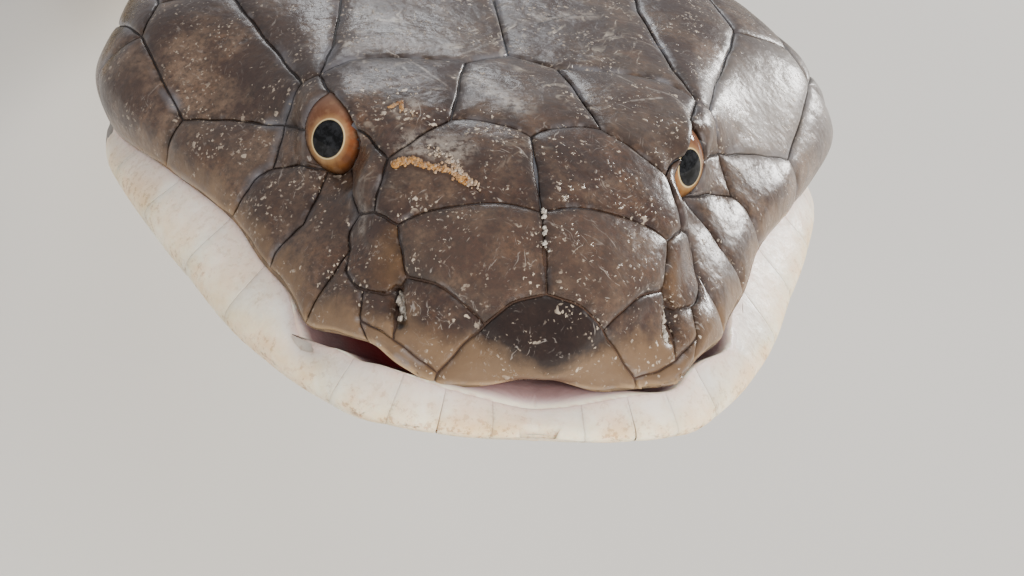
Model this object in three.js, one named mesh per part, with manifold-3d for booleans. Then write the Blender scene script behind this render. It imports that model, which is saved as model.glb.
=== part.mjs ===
import * as THREE from 'three';
import { mergeVertices } from 'three/addons/utils/BufferGeometryUtils.js';
import Module from 'manifold-3d';

// King cobra at life size, in millimetres: the head faces -Y, the floor is z = 0.
// Head places are x to the snake's left, y back from the snout and z up from the notch of the upper lip.

// Driving dimensions of the body
const BODY_LENGTH = 3908;
const HEAD_LIFT = 95;
const SLOPE_LENGTH = 360;
const BELLY_FLAT = 0.86;
const HEIGHT_TO_WIDTH = 0.92;
const JOINT_GAP = 0.3;
const PATH_STEP = 1;
const RING_STEP = 30;
// Where the notch of the upper lip stands: x and y set the origin under the middle of the whole snake
const HEAD_AT = [39.7, -612.5, 120];

// Half-width of the body at each distance behind the head
const BODY_WIDTH = [
  [0, 23.5], [150, 21.5], [500, 25], [1100, 28.5], [1900, 30.5], [2600, 28],
  [3050, 22.5], [3300, 16.5], [3600, 9.5], [3850, 3.6], [3908, 1.2],
];
// Bends of the body: where each starts, how long it is, and how many degrees it turns to the left side
const TURNS = [
  [210, 320, -80], [560, 410, 174], [1010, 280, 10], [1340, 430, -184], [1820, 250, -12],
  [2110, 400, 178], [2560, 200, 12], [2790, 350, -164], [3180, 360, -52], [3560, 330, 90],
];
// Lengths that the body is divided into, each from the end of the one before
const LENGTHS = [
  ['neck', 300], ['body_1', 560], ['body_2', 765], ['body_3', 1160], ['body_4', 1555],
  ['body_5', 1930], ['body_6', 2310], ['body_7', 2640], ['body_8', 2965], ['body_9', 3110],
  ['tail_base', 3560], ['tail_tip', BODY_LENGTH],
];
// Degrees round the body from the back to the belly where its section has corners
const SECTION_ANGLES = [0, 18, 36, 54, 72, 90, 108, 128, 149.3, 180];

// Head: rails from the snout to the neck, first those above the mouth, from crown to lip
const NECK_Y = 92;
const NECK_Z = -6.5;
const UPPER_ANGLES = [0, 36, 62, 86, 104];
const LOWER_ANGLES = [180, 149.3, 134, 118, 104];
const UPPER_RAILS = [
  [[0, 0.6, 3.4], [0, 4.3, 7.2], [0, 7.6, 9.5], [0, 11.2, 11.4], [0, 20, 14.4],
    [0, 29, 15.2], [0, 38, 15], [0, 51, 15.2], [0, 64, 15.6], [0, 78, 15.8]],
  [[0, 0.2, 2.5], [4.6, 3.2, 5.8], [8.4, 7.3, 7.6], [11, 11.8, 9], [14, 19.6, 11.9],
    [17.3, 28, 13.5], [18, 37.5, 13.9], [19, 51, 14.4], [19.5, 65, 14.2], [17.5, 79, 13.4]],
  [[0, 0.2, 1.6], [5.4, 2.6, 3.2], [10.6, 6.6, 3.9], [14.4, 11.2, 4.6], [16.4, 18, 6.4],
    [19.4, 26.5, 8], [25.6, 36.5, 8.4], [32.5, 49.5, 10.2], [33, 63, 8.6], [28.2, 77, 6]],
  [[0, 0.6, 0.8], [5.9, 2.1, 1.2], [11.3, 4.6, 1.4], [15.7, 8.4, 1.8], [20.4, 18.2, 3.2],
    [24.4, 26.2, 4.4], [31, 36, 4.8], [38, 48.5, 4], [37, 61.5, 1], [32.2, 76, -2]],
  [[0, 1.9, -0.2], [5.6, 1.4, -1.2], [11, 3, -0.9], [15.3, 6.2, -0.3], [22.5, 17.4, 0],
    [26, 25.4, 1.2], [31.6, 35, 0.9], [36.5, 47.3, -1.6], [36.6, 60, -4.6], [32.2, 75, -8]],
];
// Rails of the lower jaw, from the middle of the chin to the edge of its lip
const LOWER_RAILS = [
  [[0, -1, -6.8], [0, 3.5, -9.2], [0, 8, -10.4], [0, 13, -11.4], [0, 22, -12.8],
    [0, 31, -14.2], [0, 40, -15.8], [0, 53, -18.2], [0, 66, -20.6], [0, 80, -23.2]],
  [[0, -1.3, -6.3], [4.6, 2, -8.8], [8.5, 6, -10], [12, 11, -10.8], [16.2, 19.5, -11.8],
    [18.6, 29, -12.6], [20.8, 38.5, -13.8], [22, 51, -16], [21.5, 65, -18.6], [18, 79, -21.6]],
  [[0, -1.7, -5.6], [5.4, -0.4, -7.2], [10.8, 2.8, -7.9], [15.2, 7.4, -8.2], [21.8, 17.6, -8.3],
    [25.4, 26.2, -7.9], [29.4, 36.4, -8], [32.4, 48.5, -9.6], [31.6, 62, -13.2], [28, 77, -16.5]],
  [[0, -1.9, -4.2], [5.8, -2, -4.5], [12, 0, -4.6], [17, 4.2, -4.7], [24.6, 14.8, -4.2],
    [28.7, 23.7, -3.4], [33.1, 34.5, -2.8], [36.5, 46.6, -4.6], [35.8, 60, -8], [31.3, 75, -11.5]],
  [[0, 1, -2.6], [5.6, 0.5, -2.9], [11.2, 2.2, -2.8], [15.9, 6, -2.5], [23.2, 16.6, -1.8],
    [27, 24.8, -0.8], [32.2, 35, -1], [36.6, 47.3, -3], [36.6, 60, -4.95], [32.2, 75, -8.35]],
];
const HEAD_ROWS = 22;
// Columns of the head's surface from the midline to the lip, closer together over the lower lip's bulge
const UPPER_COLUMNS = [0, 0.1, 0.2, 0.3, 0.4, 0.5, 0.6, 0.7, 0.8, 0.9, 1];
const LOWER_COLUMNS = [0, 0.15, 0.3, 0.42, 0.52, 0.62, 0.7, 0.77, 0.84, 0.92, 1];
const MOUTH_COLUMNS = 6;
const PALATE_RISE = 2;
const JAW_FLOOR_DROP = 1.6;

// Corners of the head shields, on the left side of the head and on the midline where x is 0
const PLACES = {
  notch: [0, 1.9, -0.2], notch_side: [4.2, 1.4, -1.1],
  rostral_top: [0, 4.1, 7], rostral_side: [5.3, 2.9, 4.3], rostral_low: [8.9, 2.6, -0.2],
  rostral_lip: [9.2, 2.2, -1.1],
  nose_mid: [0, 11.1, 11.4], nose_side: [12.5, 12.5, 8.5], nose_low: [11.7, 8.6, 5.4],
  brow_mid: [0, 20, 14.4], brow_side: [7.1, 22.6, 14.3], canthus_rear: [13.1, 18.8, 11.9],
  canthus: [14.3, 14.9, 8.4], cheek_front: [15.4, 16.4, 7.2],
  nasal_back: [16.1, 14.3, 4.7], nasal_foot: [15.1, 10, 3.2],
  nostril_top: [12.7, 8.1, 3.6], nostril_foot: [12.9, 5, 0.8],
  first_top: [15.5, 7.6, 1.3], first_lip: [15.1, 6, -0.2], second_lip: [19, 11.6, -0.1],
  third_top: [17.6, 22.2, 7.4], third_mid: [19.9, 19.4, 4.3], third_low: [22.3, 18.8, 1.4],
  third_lip: [22.6, 18.1, 0.2],
  fourth_mid: [24.5, 26, 4.1], fourth_lip: [25.8, 25.4, 1.4],
  frontal_rear: [4.5, 33.6, 15.1], frontal_tip: [0, 36.1, 15],
  eye_front: [14.9, 20.6, 11.9], eye_foot: [16.2, 20.3, 8.8],
  eye_top: [18.2, 29, 12.8], eye_rear: [19.7, 28.1, 9.5],
  brow_rear: [15.5, 34, 14.3], brow_back: [18.4, 32, 13.3], upper_back: [19.5, 32.3, 11.9],
  post_back: [21.4, 30.6, 8.7], post_foot: [22.4, 26.8, 6],
  temporal_low: [26, 34.2, 7.1], jaw_rear: [30.6, 36.7, 5.5], fifth_lip: [31.8, 35.6, 1],
  temporal_rear: [34.8, 48.8, 8.4], temporal_top: [33.2, 53.5, 10],
  wedge_front: [23.4, 42.4, 12.4], wedge_side: [26.3, 51, 12.7],
  parietal_front: [16.9, 37.7, 14.2], parietal_side: [15.3, 49.7, 14.8],
  sixth_out: [38, 51, 3.2], sixth_lip: [36.6, 48.5, -1.8],
  seventh_top: [37, 59, 5], seventh_lip: [36.8, 58, -4],
  wedge_end: [24.8, 60, 12.6], parietal_end: [16.5, 61, 14.4],
  parietal_rear: [10.5, 67, 15], parietal_mid: [0, 62, 15.6],
  rear_temporal_out: [33.5, 65, 8.6], rear_temporal_in: [24.5, 69, 12],
  rear_temporal_low: [36, 67, 3.5],
  occipital_out: [15, 75, 14], occipital_rear: [9.5, 86, 14.2], occipital_mid: [0, 83, 15.6],
  nape_side: [20.5, 79, 12],
};
// Shields that cross the midline, as their corners on the left side from front to back
const MIDDLE_SHIELDS = [
  ['notch', 'notch_side', 'rostral_lip', 'rostral_low', 'rostral_side', 'rostral_top'],
  ['brow_mid', 'brow_side', 'frontal_rear', 'frontal_tip'],
];
// Shields of one side, each a ring of corners
const SIDE_SHIELDS = {
  internasal: ['rostral_top', 'rostral_side', 'nose_low', 'nose_side', 'nose_mid'],
  prefrontal: ['nose_mid', 'nose_side', 'canthus', 'canthus_rear', 'brow_side', 'brow_mid'],
  supraocular: ['brow_side', 'canthus_rear', 'eye_front', 'eye_top', 'brow_back', 'brow_rear',
    'frontal_rear'],
  parietal: ['frontal_tip', 'frontal_rear', 'brow_rear', 'brow_back', 'parietal_front',
    'parietal_side', 'parietal_end', 'parietal_rear', 'parietal_mid'],
  prenasal: ['rostral_side', 'rostral_low', 'nostril_foot', 'nostril_top', 'nose_low'],
  postnasal: ['nose_low', 'nostril_top', 'nasal_foot', 'nasal_back', 'cheek_front', 'canthus',
    'nose_side'],
  lower_nasal: ['nostril_top', 'nostril_foot', 'first_top', 'nasal_foot'],
  first_labial: ['rostral_low', 'rostral_lip', 'first_lip', 'first_top', 'nostril_foot'],
  second_labial: ['nasal_foot', 'first_top', 'first_lip', 'second_lip', 'nasal_back'],
  third_labial: ['cheek_front', 'nasal_back', 'second_lip', 'third_lip', 'third_low', 'third_mid',
    'third_top', 'eye_foot'],
  preocular: ['canthus', 'cheek_front', 'eye_foot', 'eye_front', 'canthus_rear'],
  fourth_labial: ['third_top', 'third_mid', 'third_low', 'third_lip', 'fourth_lip', 'fourth_mid',
    'post_foot'],
  lower_postocular: ['third_top', 'post_foot', 'post_back', 'eye_rear'],
  upper_postocular: ['eye_rear', 'post_back', 'upper_back', 'brow_back', 'eye_top'],
  fifth_labial: ['post_foot', 'fourth_mid', 'fourth_lip', 'fifth_lip', 'jaw_rear', 'temporal_low',
    'post_back'],
  temporal: ['post_back', 'temporal_low', 'jaw_rear', 'temporal_rear', 'temporal_top', 'wedge_side',
    'wedge_front', 'upper_back'],
  wedge_temporal: ['brow_back', 'upper_back', 'wedge_front', 'wedge_side', 'wedge_end',
    'parietal_end', 'parietal_side', 'parietal_front'],
  sixth_labial: ['jaw_rear', 'fifth_lip', 'sixth_lip', 'sixth_out', 'temporal_rear'],
  seventh_labial: ['temporal_rear', 'sixth_out', 'sixth_lip', 'seventh_lip', 'seventh_top'],
  rear_temporal: ['wedge_side', 'temporal_top', 'rear_temporal_out', 'rear_temporal_in', 'wedge_end'],
  low_temporal: ['temporal_top', 'temporal_rear', 'seventh_top', 'rear_temporal_low',
    'rear_temporal_out'],
  occipital: ['parietal_mid', 'parietal_rear', 'occipital_out', 'occipital_rear', 'occipital_mid'],
  side_occipital: ['parietal_end', 'wedge_end', 'rear_temporal_in', 'nape_side', 'occipital_out',
    'parietal_rear'],
};
// Seams that bow: millimetres to the right of the way from the first corner to the second
const BOWS = {
  'nose_side nose_mid': 1.2, 'brow_side brow_mid': 0.8, 'nasal_foot nasal_back': 1,
  'rostral_side rostral_top': 0.5, 'nose_low rostral_side': 0.9, 'cheek_front nasal_back': -0.8,
  'fourth_mid post_foot': 0.5, 'eye_front eye_top': 1.6, 'eye_foot eye_front': 0.8,
  'third_top eye_foot': 0.6, 'eye_top eye_rear': 0.5, 'eye_rear third_top': 1.2,
  'brow_rear frontal_rear': 0.6, 'post_foot third_top': 0.5,
};
// Shields of the lower jaw: seams of the lip shields along it, then others by place across and along
const LOWER_LIP_SEAMS = [0.12, 0.21, 0.3, 0.42, 0.505, 0.585, 0.66, 0.73];
const LOWER_LIP_EDGES = [0.9, 0.5];
const MENTAL = [
  [-0.9, 0.115], [-0.85, 0.05], [0.85, 0.05], [0.9, 0.115], [0.5, 0.12], [0, 0.13], [-0.5, 0.12],
];
const CHIN_SHIELDS = [
  [[0.05, 0.15], [0.4, 0.15], [0.46, 0.3], [0.38, 0.36], [0.05, 0.36]],
  [[0.05, 0.37], [0.38, 0.37], [0.46, 0.42], [0.38, 0.55], [0.05, 0.53]],
];
const SHIELD_SEAM = 0.35;
const SHIELD_ROOT = 0.9;
// Middle of the head, and how far from it the top of a shield is lifted before it is laid on the skin
const HEAD_CORE = new THREE.Vector3(0, 30, 0);
const TOP_LIFT = 4;
// Each kind of shield: its rise, how much higher its middle is, the spacing of its corners, its inner rings
const HEAD_SHIELD = { rise: 0.55, crown: 0.3, step: 4, rings: [0.55] };
const SNOUT_SHIELD = { rise: 0.55, crown: 0.3, step: 2.2, rings: [0.35, 0.7] };
const JAW_SHIELD = { rise: 0.28, crown: 0.1, step: 4.4, rings: [0.5] };

// Eyes and nostrils
const EYE_CENTRE = [14.5, 27, 9];
const EYE_RADIUS = 4.5;
const EYE_AXIS = [0.78, -0.58, 0.23];
const EYE_OPENING = [3.3, 4.1, 3.1];
const EYE_OPENING_AT = 4.2;
const NOTCH_CENTRE = [0, 1.6, -1.5];
const NOTCH_SIZE = [4, 3, 1.5];
const NOSTRIL_CENTRE = [12.8, 6.6, 2.3];
const NOSTRIL_SIZE = [1, 2.1, 1.4];
const NOSTRIL_LEAN = 0.75;

const wasm = await Module();
wasm.setup();

const vector = (place) => new THREE.Vector3(...place);

const carriedOn = (end, next) => end.map((value, axis) => 2 * value - next[axis]);

// Value on a smooth curve through evenly spaced places, with a place given to start before the first
function smoothPlace(places, at, before = carriedOn(places[0], places[1])) {
  const last = places.length - 1;
  const t = Math.min(Math.max(at, 0), last - 1e-9);
  const index = Math.floor(t);
  const f = t - index;
  const pick = (k) => {
    if (k < 0) return before;
    return k > last ? carriedOn(places[last], places[last - 1]) : places[k];
  };
  const [a, b, c, d] = [-1, 0, 1, 2].map((k) => pick(index + k));
  return b.map((value, axis) => 0.5 * (2 * value + (c[axis] - a[axis]) * f
    + (2 * a[axis] - 5 * value + 4 * c[axis] - d[axis]) * f * f
    + (3 * value - a[axis] - 3 * c[axis] + d[axis]) * f * f * f));
}

function smoothStep(t) {
  const x = Math.min(Math.max(t, 0), 1);
  return x ** 3 * (10 - 15 * x + 6 * x * x);
}

function smoothStepSlope(t) {
  const x = Math.min(Math.max(t, 0), 1);
  return 30 * x * x * (1 - x) ** 2;
}

// Point of the body's section: across and up from its middle
function sectionPoint(degrees, width) {
  const angle = THREE.MathUtils.degToRad(degrees);
  const height = width * HEIGHT_TO_WIDTH;
  return [width * Math.sin(angle), Math.max(height * Math.cos(angle), -BELLY_FLAT * height)];
}

function bodyWidth(distance) {
  const next = BODY_WIDTH.findIndex(([at]) => at >= distance);
  if (next <= 0) return BODY_WIDTH[0][1];
  const [start, from] = BODY_WIDTH[next - 1];
  const [end, to] = BODY_WIDTH[next];
  const t = (distance - start) / (end - start);
  return from + (to - from) * t * t * (3 - 2 * t);
}

// Belly line of the body, one entry for each step of its length
function bellyLine() {
  const line = [];
  let x = 0;
  let y = 0;
  let along = 0;
  for (let step = 0; step * PATH_STEP <= BODY_LENGTH; step += 1) {
    const distance = step * PATH_STEP;
    const heading = TURNS.reduce((sum, [start, length, degrees]) =>
      sum + THREE.MathUtils.degToRad(degrees) * smoothStep((distance - start) / length), 0);
    const slope = -HEAD_LIFT * smoothStepSlope(along / SLOPE_LENGTH) / SLOPE_LENGTH;
    const height = HEAD_LIFT * (1 - smoothStep(along / SLOPE_LENGTH));
    line.push({ x, y, height, heading, slope });
    const ahead = PATH_STEP / Math.hypot(1, slope);
    x += Math.sin(heading) * ahead;
    y += Math.cos(heading) * ahead;
    along += ahead;
  }
  return line;
}

const BELLY_LINE = bellyLine();

// Ring of the body at a distance behind the head
function bodyRing(distance) {
  const at = Math.min(distance / PATH_STEP, BELLY_LINE.length - 1);
  const index = Math.min(Math.floor(at), BELLY_LINE.length - 2);
  const f = at - index;
  const blend = (key) => BELLY_LINE[index][key] * (1 - f) + BELLY_LINE[index + 1][key] * f;
  const heading = blend('heading');
  const lean = Math.hypot(1, blend('slope'));
  const forward = vector([Math.sin(heading), Math.cos(heading), 0]);
  const side = vector([Math.cos(heading), -Math.sin(heading), 0]);
  const up = forward.clone().multiplyScalar(-blend('slope') / lean);
  up.z = 1 / lean;
  const width = bodyWidth(distance);
  const belly = vector([HEAD_AT[0] + blend('x'), HEAD_AT[1] + NECK_Y + blend('y'), blend('height')]);
  const middle = belly.addScaledVector(up, BELLY_FLAT * HEIGHT_TO_WIDTH * width);
  const angles = [...SECTION_ANGLES, ...SECTION_ANGLES.slice(1, -1).reverse().map((a) => -a)];
  return angles.map((degrees) => {
    const [across, rise] = sectionPoint(degrees, width);
    return middle.clone().addScaledVector(side, across).addScaledVector(up, rise);
  });
}

// Closed geometry from points and triangles, with points in one place welded and flat scraps dropped
function closedGeometry(points, triangles) {
  const loose = new THREE.BufferGeometry();
  loose.setAttribute('position', new THREE.Float32BufferAttribute(
    points.flatMap((point) => point.toArray()), 3));
  loose.setIndex(triangles.flat());
  const welded = mergeVertices(loose, 1e-4);
  const index = welded.getIndex().array;
  const kept = [];
  for (let i = 0; i < index.length; i += 3) {
    const corners = [index[i], index[i + 1], index[i + 2]];
    if (new Set(corners).size === 3) kept.push(...corners);
  }
  welded.setIndex(kept);
  return welded;
}

// Body length as rings joined into a closed tube
function tube(start, end) {
  const count = Math.max(2, Math.round((end - start) / RING_STEP));
  const points = [];
  const triangles = [];
  const sides = 2 * (SECTION_ANGLES.length - 1);
  for (let ring = 0; ring <= count; ring += 1) {
    points.push(...bodyRing(start + (end - start) * ring / count));
  }
  for (let ring = 0; ring < count; ring += 1) {
    for (let side = 0; side < sides; side += 1) {
      const a = ring * sides + side;
      const b = ring * sides + (side + 1) % sides;
      triangles.push([a, b, a + sides], [b, b + sides, a + sides]);
    }
  }
  const last = count * sides;
  for (let side = 1; side < sides - 1; side += 1) {
    triangles.push([0, side + 1, side], [last, last + side, last + side + 1]);
  }
  return closedGeometry(points, triangles);
}

// Rails carried on to the neck, where they meet the first ring of the body
function toNeck(rails, angles) {
  return rails.map((rail, index) => {
    const [across, rise] = sectionPoint(angles[index], BODY_WIDTH[0][1]);
    return [...rail, [across, NECK_Y - JOINT_GAP, NECK_Z + rise]];
  });
}

const UPPER = toNeck(UPPER_RAILS, UPPER_ANGLES);
const LOWER = toNeck(LOWER_RAILS, LOWER_ANGLES);
const LAST_RAIL = UPPER.length - 1;
const LAST_STATION = UPPER[0].length - 1;

// Point of the head's surface: across from -1 at the right lip to 1 at the left, along from 0 to 1.
// Each rail comes round the snout from its own mirror image, so that the snout is blunt.
function headPoint(rails, across, along) {
  const half = rails.map((rail) => {
    const [x, y, z] = rail[1];
    return smoothPlace(rail, along * LAST_STATION, [-x, y, z]);
  });
  const other = half.slice(1).reverse().map(([x, y, z]) => [-x, y, z]);
  return vector(smoothPlace([...other, ...half], (across + 1) * LAST_RAIL));
}

// Half of the head as a closed body: its outer surface, the neck's end and the roof or floor of the mouth
function headShell(rails, halfColumns, rise, upward) {
  const points = [];
  const triangles = [];
  const columns = [...halfColumns.slice(1).reverse().map((across) => -across), ...halfColumns];
  const lastColumn = columns.length - 1;
  const face = (a, b, c, d) => (upward
    ? triangles.push([a, b, c], [a, c, d]) : triangles.push([a, c, b], [a, d, c]));
  const width = columns.length;
  for (let row = 0; row <= HEAD_ROWS; row += 1) {
    points.push(...columns.map((across) => headPoint(rails, across, row / HEAD_ROWS)));
  }
  for (let row = 0; row < HEAD_ROWS; row += 1) {
    for (let column = 0; column < lastColumn; column += 1) {
      const a = row * width + column;
      face(a, a + 1, a + width + 1, a + width);
    }
  }
  const inner = points.length;
  const span = MOUTH_COLUMNS + 1;
  for (let row = 0; row <= HEAD_ROWS; row += 1) {
    const right = points[row * width];
    const left = points[row * width + lastColumn];
    const open = Math.min(1, left.x / 12) * (1 - smoothStep(row / HEAD_ROWS * 2.2 - 1.2));
    for (let column = 0; column <= MOUTH_COLUMNS; column += 1) {
      const t = column / MOUTH_COLUMNS;
      const point = right.clone().lerp(left, t);
      point.z += rise * open * Math.sin(Math.PI * t);
      points.push(point);
    }
  }
  for (let row = 0; row < HEAD_ROWS; row += 1) {
    for (let column = 0; column < MOUTH_COLUMNS; column += 1) {
      const a = inner + row * span + column;
      face(a, a + span, a + span + 1, a + 1);
    }
  }
  const rim = [];
  columns.forEach((across, column) => rim.push(HEAD_ROWS * width + column));
  for (let column = MOUTH_COLUMNS - 1; column > 0; column -= 1) {
    rim.push(inner + HEAD_ROWS * span + column);
  }
  const centre = points.length;
  points.push(vector([0, NECK_Y - JOINT_GAP, rise > 0 ? 4 : -18]));
  rim.forEach((corner, i) => {
    const next = rim[(i + 1) % rim.length];
    triangles.push(upward ? [corner, next, centre] : [corner, centre, next]);
  });
  return closedGeometry(points, triangles);
}

// Fine mesh of the head's surface that shields are laid on
const SKIN_ROWS = 48;
const SKIN_COLUMNS = 40;

function skinOf(rails, outward) {
  const entries = [];
  for (let row = 0; row <= SKIN_ROWS; row += 1) {
    for (let column = 0; column <= SKIN_COLUMNS; column += 1) {
      const across = 2 * column / SKIN_COLUMNS - 1;
      const along = row / SKIN_ROWS;
      entries.push({ across, along, point: headPoint(rails, across, along) });
    }
  }
  return { rails, outward, entries };
}

const UPPER_SKIN = skinOf(UPPER, 1);
const LOWER_SKIN = skinOf(LOWER, -1);

// Nearest point of the head's surface to a place, moved out along its normal
function onSkin({ rails, outward, entries }, place, rise) {
  const middle = entries.reduce((best, entry) =>
    (entry.point.distanceToSquared(place) < best.point.distanceToSquared(place) ? entry : best));
  let { across, along } = middle;
  let reach = 1 / SKIN_ROWS;
  while (reach > 1e-4) {
    const choices = [[0, 0], [reach, 0], [-reach, 0], [0, reach], [0, -reach]].map(([a, b]) => [
      THREE.MathUtils.clamp(across + a, -1, 1), THREE.MathUtils.clamp(along + b, 0, 1)]);
    const distances = choices.map(([a, b]) => headPoint(rails, a, b).distanceToSquared(place));
    const best = distances.indexOf(Math.min(...distances));
    if (best === 0) reach /= 2;
    [across, along] = choices[best];
  }
  const around = 0.01;
  const a0 = Math.max(across - around, -1);
  const a1 = Math.min(across + around, 1);
  const b0 = Math.max(along - around, 0);
  const b1 = Math.min(along + around, 1);
  const beside = Math.max(along, around);
  const acrossWay = headPoint(rails, a1, beside).sub(headPoint(rails, a0, beside));
  const alongWay = headPoint(rails, across, b1).sub(headPoint(rails, across, b0));
  const normal = acrossWay.cross(alongWay).normalize();
  return headPoint(rails, across, along).addScaledVector(normal, outward * rise);
}

function shieldCorner(name, mirrored) {
  const place = vector(PLACES[name]);
  if (mirrored) place.x = -place.x;
  return place;
}

// Points of the seam from one corner to the next, bowed where the real seam is
function seam(from, to, mirrored, step) {
  const bow = BOWS[`${from} ${to}`] ?? -(BOWS[`${to} ${from}`] ?? 0);
  return seamBetween(shieldCorner(from, mirrored), shieldCorner(to, mirrored),
    mirrored ? -bow : bow, step);
}

function seamBetween(start, end, bow, step) {
  const way = end.clone().sub(start);
  const outward = start.clone().add(end).multiplyScalar(0.5).sub(vector([0, 20, 0]));
  const side = way.clone().cross(outward).normalize().multiplyScalar(bow);
  const count = Math.max(1, Math.round(way.length() / step));
  return Array.from({ length: count }, (_, i) => {
    const t = i / count;
    return start.clone().addScaledVector(way, t).addScaledVector(side, 4 * t * (1 - t));
  });
}

// Shield as a closed plate: a root sunk in the head, a wall, a raised rim and a crowned middle
function shield(surface, outline, { rise, crown, rings }) {
  const middle = outline.reduce((sum, point) => sum.add(point), new THREE.Vector3())
    .divideScalar(outline.length);
  const count = outline.length;
  const rim = outline.map((point, i) => {
    const along = outline[(i + 1) % count].clone().sub(outline[(i + count - 1) % count]).normalize();
    const inward = middle.clone().sub(point);
    inward.addScaledVector(along, -inward.dot(along)).normalize();
    return point.clone().addScaledVector(inward, SHIELD_SEAM);
  });
  const outward = middle.clone().sub(HEAD_CORE).normalize();
  const top = middle.clone().addScaledVector(outward, TOP_LIFT);
  const points = [
    ...rim.map((point) => onSkin(surface, point, -SHIELD_ROOT)),
    ...rim.map((point) => onSkin(surface, point, rise)),
    ...rings.flatMap((way) => rim.map((point) =>
      onSkin(surface, point.clone().lerp(top, way), rise + crown))),
    onSkin(surface, top, -SHIELD_ROOT),
    onSkin(surface, top, rise + 1.2 * crown),
  ];
  const root = points.length - 2;
  const inner = root - count;
  const triangles = [];
  for (let i = 0; i < count; i += 1) {
    const j = (i + 1) % count;
    triangles.push([root, i, j], [root + 1, inner + j, inner + i]);
    for (let ring = 0; ring < inner; ring += count) {
      triangles.push([i + ring, i + ring + count, j + ring], [j + ring, i + ring + count, j + ring + count]);
    }
  }
  return { points, triangles };
}

function signedVolume({ points, triangles }) {
  return triangles.reduce((sum, [a, b, c]) =>
    sum + points[a].dot(points[b].clone().cross(points[c])) / 6, 0);
}

function shieldGeometry(surface, outline, kind) {
  const plate = shield(surface, outline, kind);
  if (signedVolume(plate) < 0) plate.triangles = plate.triangles.map(([a, b, c]) => [a, c, b]);
  return closedGeometry(plate.points, plate.triangles);
}

function sideRing(names, mirrored, step) {
  return names.flatMap((name, i) => seam(name, names[(i + 1) % names.length], mirrored, step));
}

// Outline of a shield of the lower jaw from its corners across and along
function jawRing(corners, sign) {
  const places = corners.map(([across, along]) => headPoint(LOWER, sign * across, along));
  return places.flatMap((place, i) =>
    seamBetween(place, places[(i + 1) % places.length], 0, JAW_SHIELD.step));
}

function middleRing(names, step) {
  const along = (list, mirrored) => list.slice(0, -1).flatMap((name, i) =>
    seam(name, list[i + 1], mirrored, step));
  return [...along(names, false), ...along([...names].reverse(), true)];
}

function solid(geometry) {
  return new wasm.Manifold(new wasm.Mesh({
    numProp: 3,
    vertProperties: Float32Array.from(geometry.getAttribute('position').array),
    triVerts: Uint32Array.from(geometry.getIndex().array),
  }));
}

// Largest closed surface of a solid, as a geometry
function largestSurface(body) {
  const pieces = body.decompose().map((piece) => piece.getMesh());
  const mesh = pieces.reduce((best, piece) => (piece.triVerts.length > best.triVerts.length ? piece : best));
  const geometry = new THREE.BufferGeometry();
  geometry.setAttribute('position', new THREE.Float32BufferAttribute(mesh.vertProperties, 3));
  geometry.setIndex([...mesh.triVerts]);
  return geometry;
}

function ball(radius, centre, segments) {
  const geometry = new THREE.IcosahedronGeometry(radius, segments);
  geometry.deleteAttribute('normal');
  geometry.deleteAttribute('uv');
  return mergeVertices(geometry, 1e-4).translate(...centre);
}

function nostril(sign) {
  const hollow = ball(1, [0, 0, 0], 1).scale(...NOSTRIL_SIZE);
  hollow.rotateX(NOSTRIL_LEAN).rotateZ(-sign * 0.4);
  const [x, y, z] = NOSTRIL_CENTRE;
  return hollow.translate(sign * x, y, z);
}

// Bowl cut in front of the eyeball, so that the eye looks out between its shields
function eyeOpening(sign) {
  const axis = vector(EYE_AXIS).normalize();
  axis.x *= sign;
  const side = axis.clone().cross(vector([0, 0, 1])).normalize();
  const up = side.clone().cross(axis);
  const place = vector([sign * EYE_CENTRE[0], EYE_CENTRE[1], EYE_CENTRE[2]])
    .addScaledVector(axis, EYE_OPENING_AT);
  const frame = new THREE.Matrix4().makeBasis(side, up, axis.clone().negate());
  return ball(1, [0, 0, 0], 2).scale(...EYE_OPENING).applyMatrix4(frame).translate(...place.toArray());
}

function headGeometry() {
  let head = solid(headShell(UPPER, UPPER_COLUMNS, PALATE_RISE, true));
  MIDDLE_SHIELDS.forEach((names, i) => {
    const kind = i ? HEAD_SHIELD : SNOUT_SHIELD;
    head = head.add(solid(shieldGeometry(UPPER_SKIN, middleRing(names, kind.step), kind)));
  });
  for (const mirrored of [false, true]) {
    for (const names of Object.values(SIDE_SHIELDS)) {
      const outline = sideRing(names, mirrored, HEAD_SHIELD.step);
      head = head.add(solid(shieldGeometry(UPPER_SKIN, outline, HEAD_SHIELD)));
    }
  }
  head = head.subtract(solid(ball(1, [0, 0, 0], 2).scale(...NOTCH_SIZE).translate(...NOTCH_CENTRE)));
  for (const sign of [1, -1]) {
    const centre = [sign * EYE_CENTRE[0], EYE_CENTRE[1], EYE_CENTRE[2]];
    head = head.subtract(solid(ball(EYE_RADIUS + JOINT_GAP, centre, 2)));
    head = head.subtract(solid(eyeOpening(sign)));
    head = head.subtract(solid(nostril(sign)));
  }
  return largestSurface(head);
}

function jawGeometry() {
  let jaw = solid(headShell(LOWER, LOWER_COLUMNS, -JAW_FLOOR_DROP, false));
  jaw = jaw.add(solid(shieldGeometry(LOWER_SKIN, jawRing(MENTAL, 1), JAW_SHIELD)));
  const [lip, foot] = LOWER_LIP_EDGES;
  const lipShields = LOWER_LIP_SEAMS.slice(0, -1).map((start, i) => {
    const end = LOWER_LIP_SEAMS[i + 1];
    return [[lip, start], [lip, end], [foot, end + 0.01], [foot, start + 0.01]];
  });
  for (const sign of [1, -1]) {
    for (const corners of [...lipShields, ...CHIN_SHIELDS]) {
      jaw = jaw.add(solid(shieldGeometry(LOWER_SKIN, jawRing(corners, sign), JAW_SHIELD)));
    }
  }
  return largestSurface(jaw);
}

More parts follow.
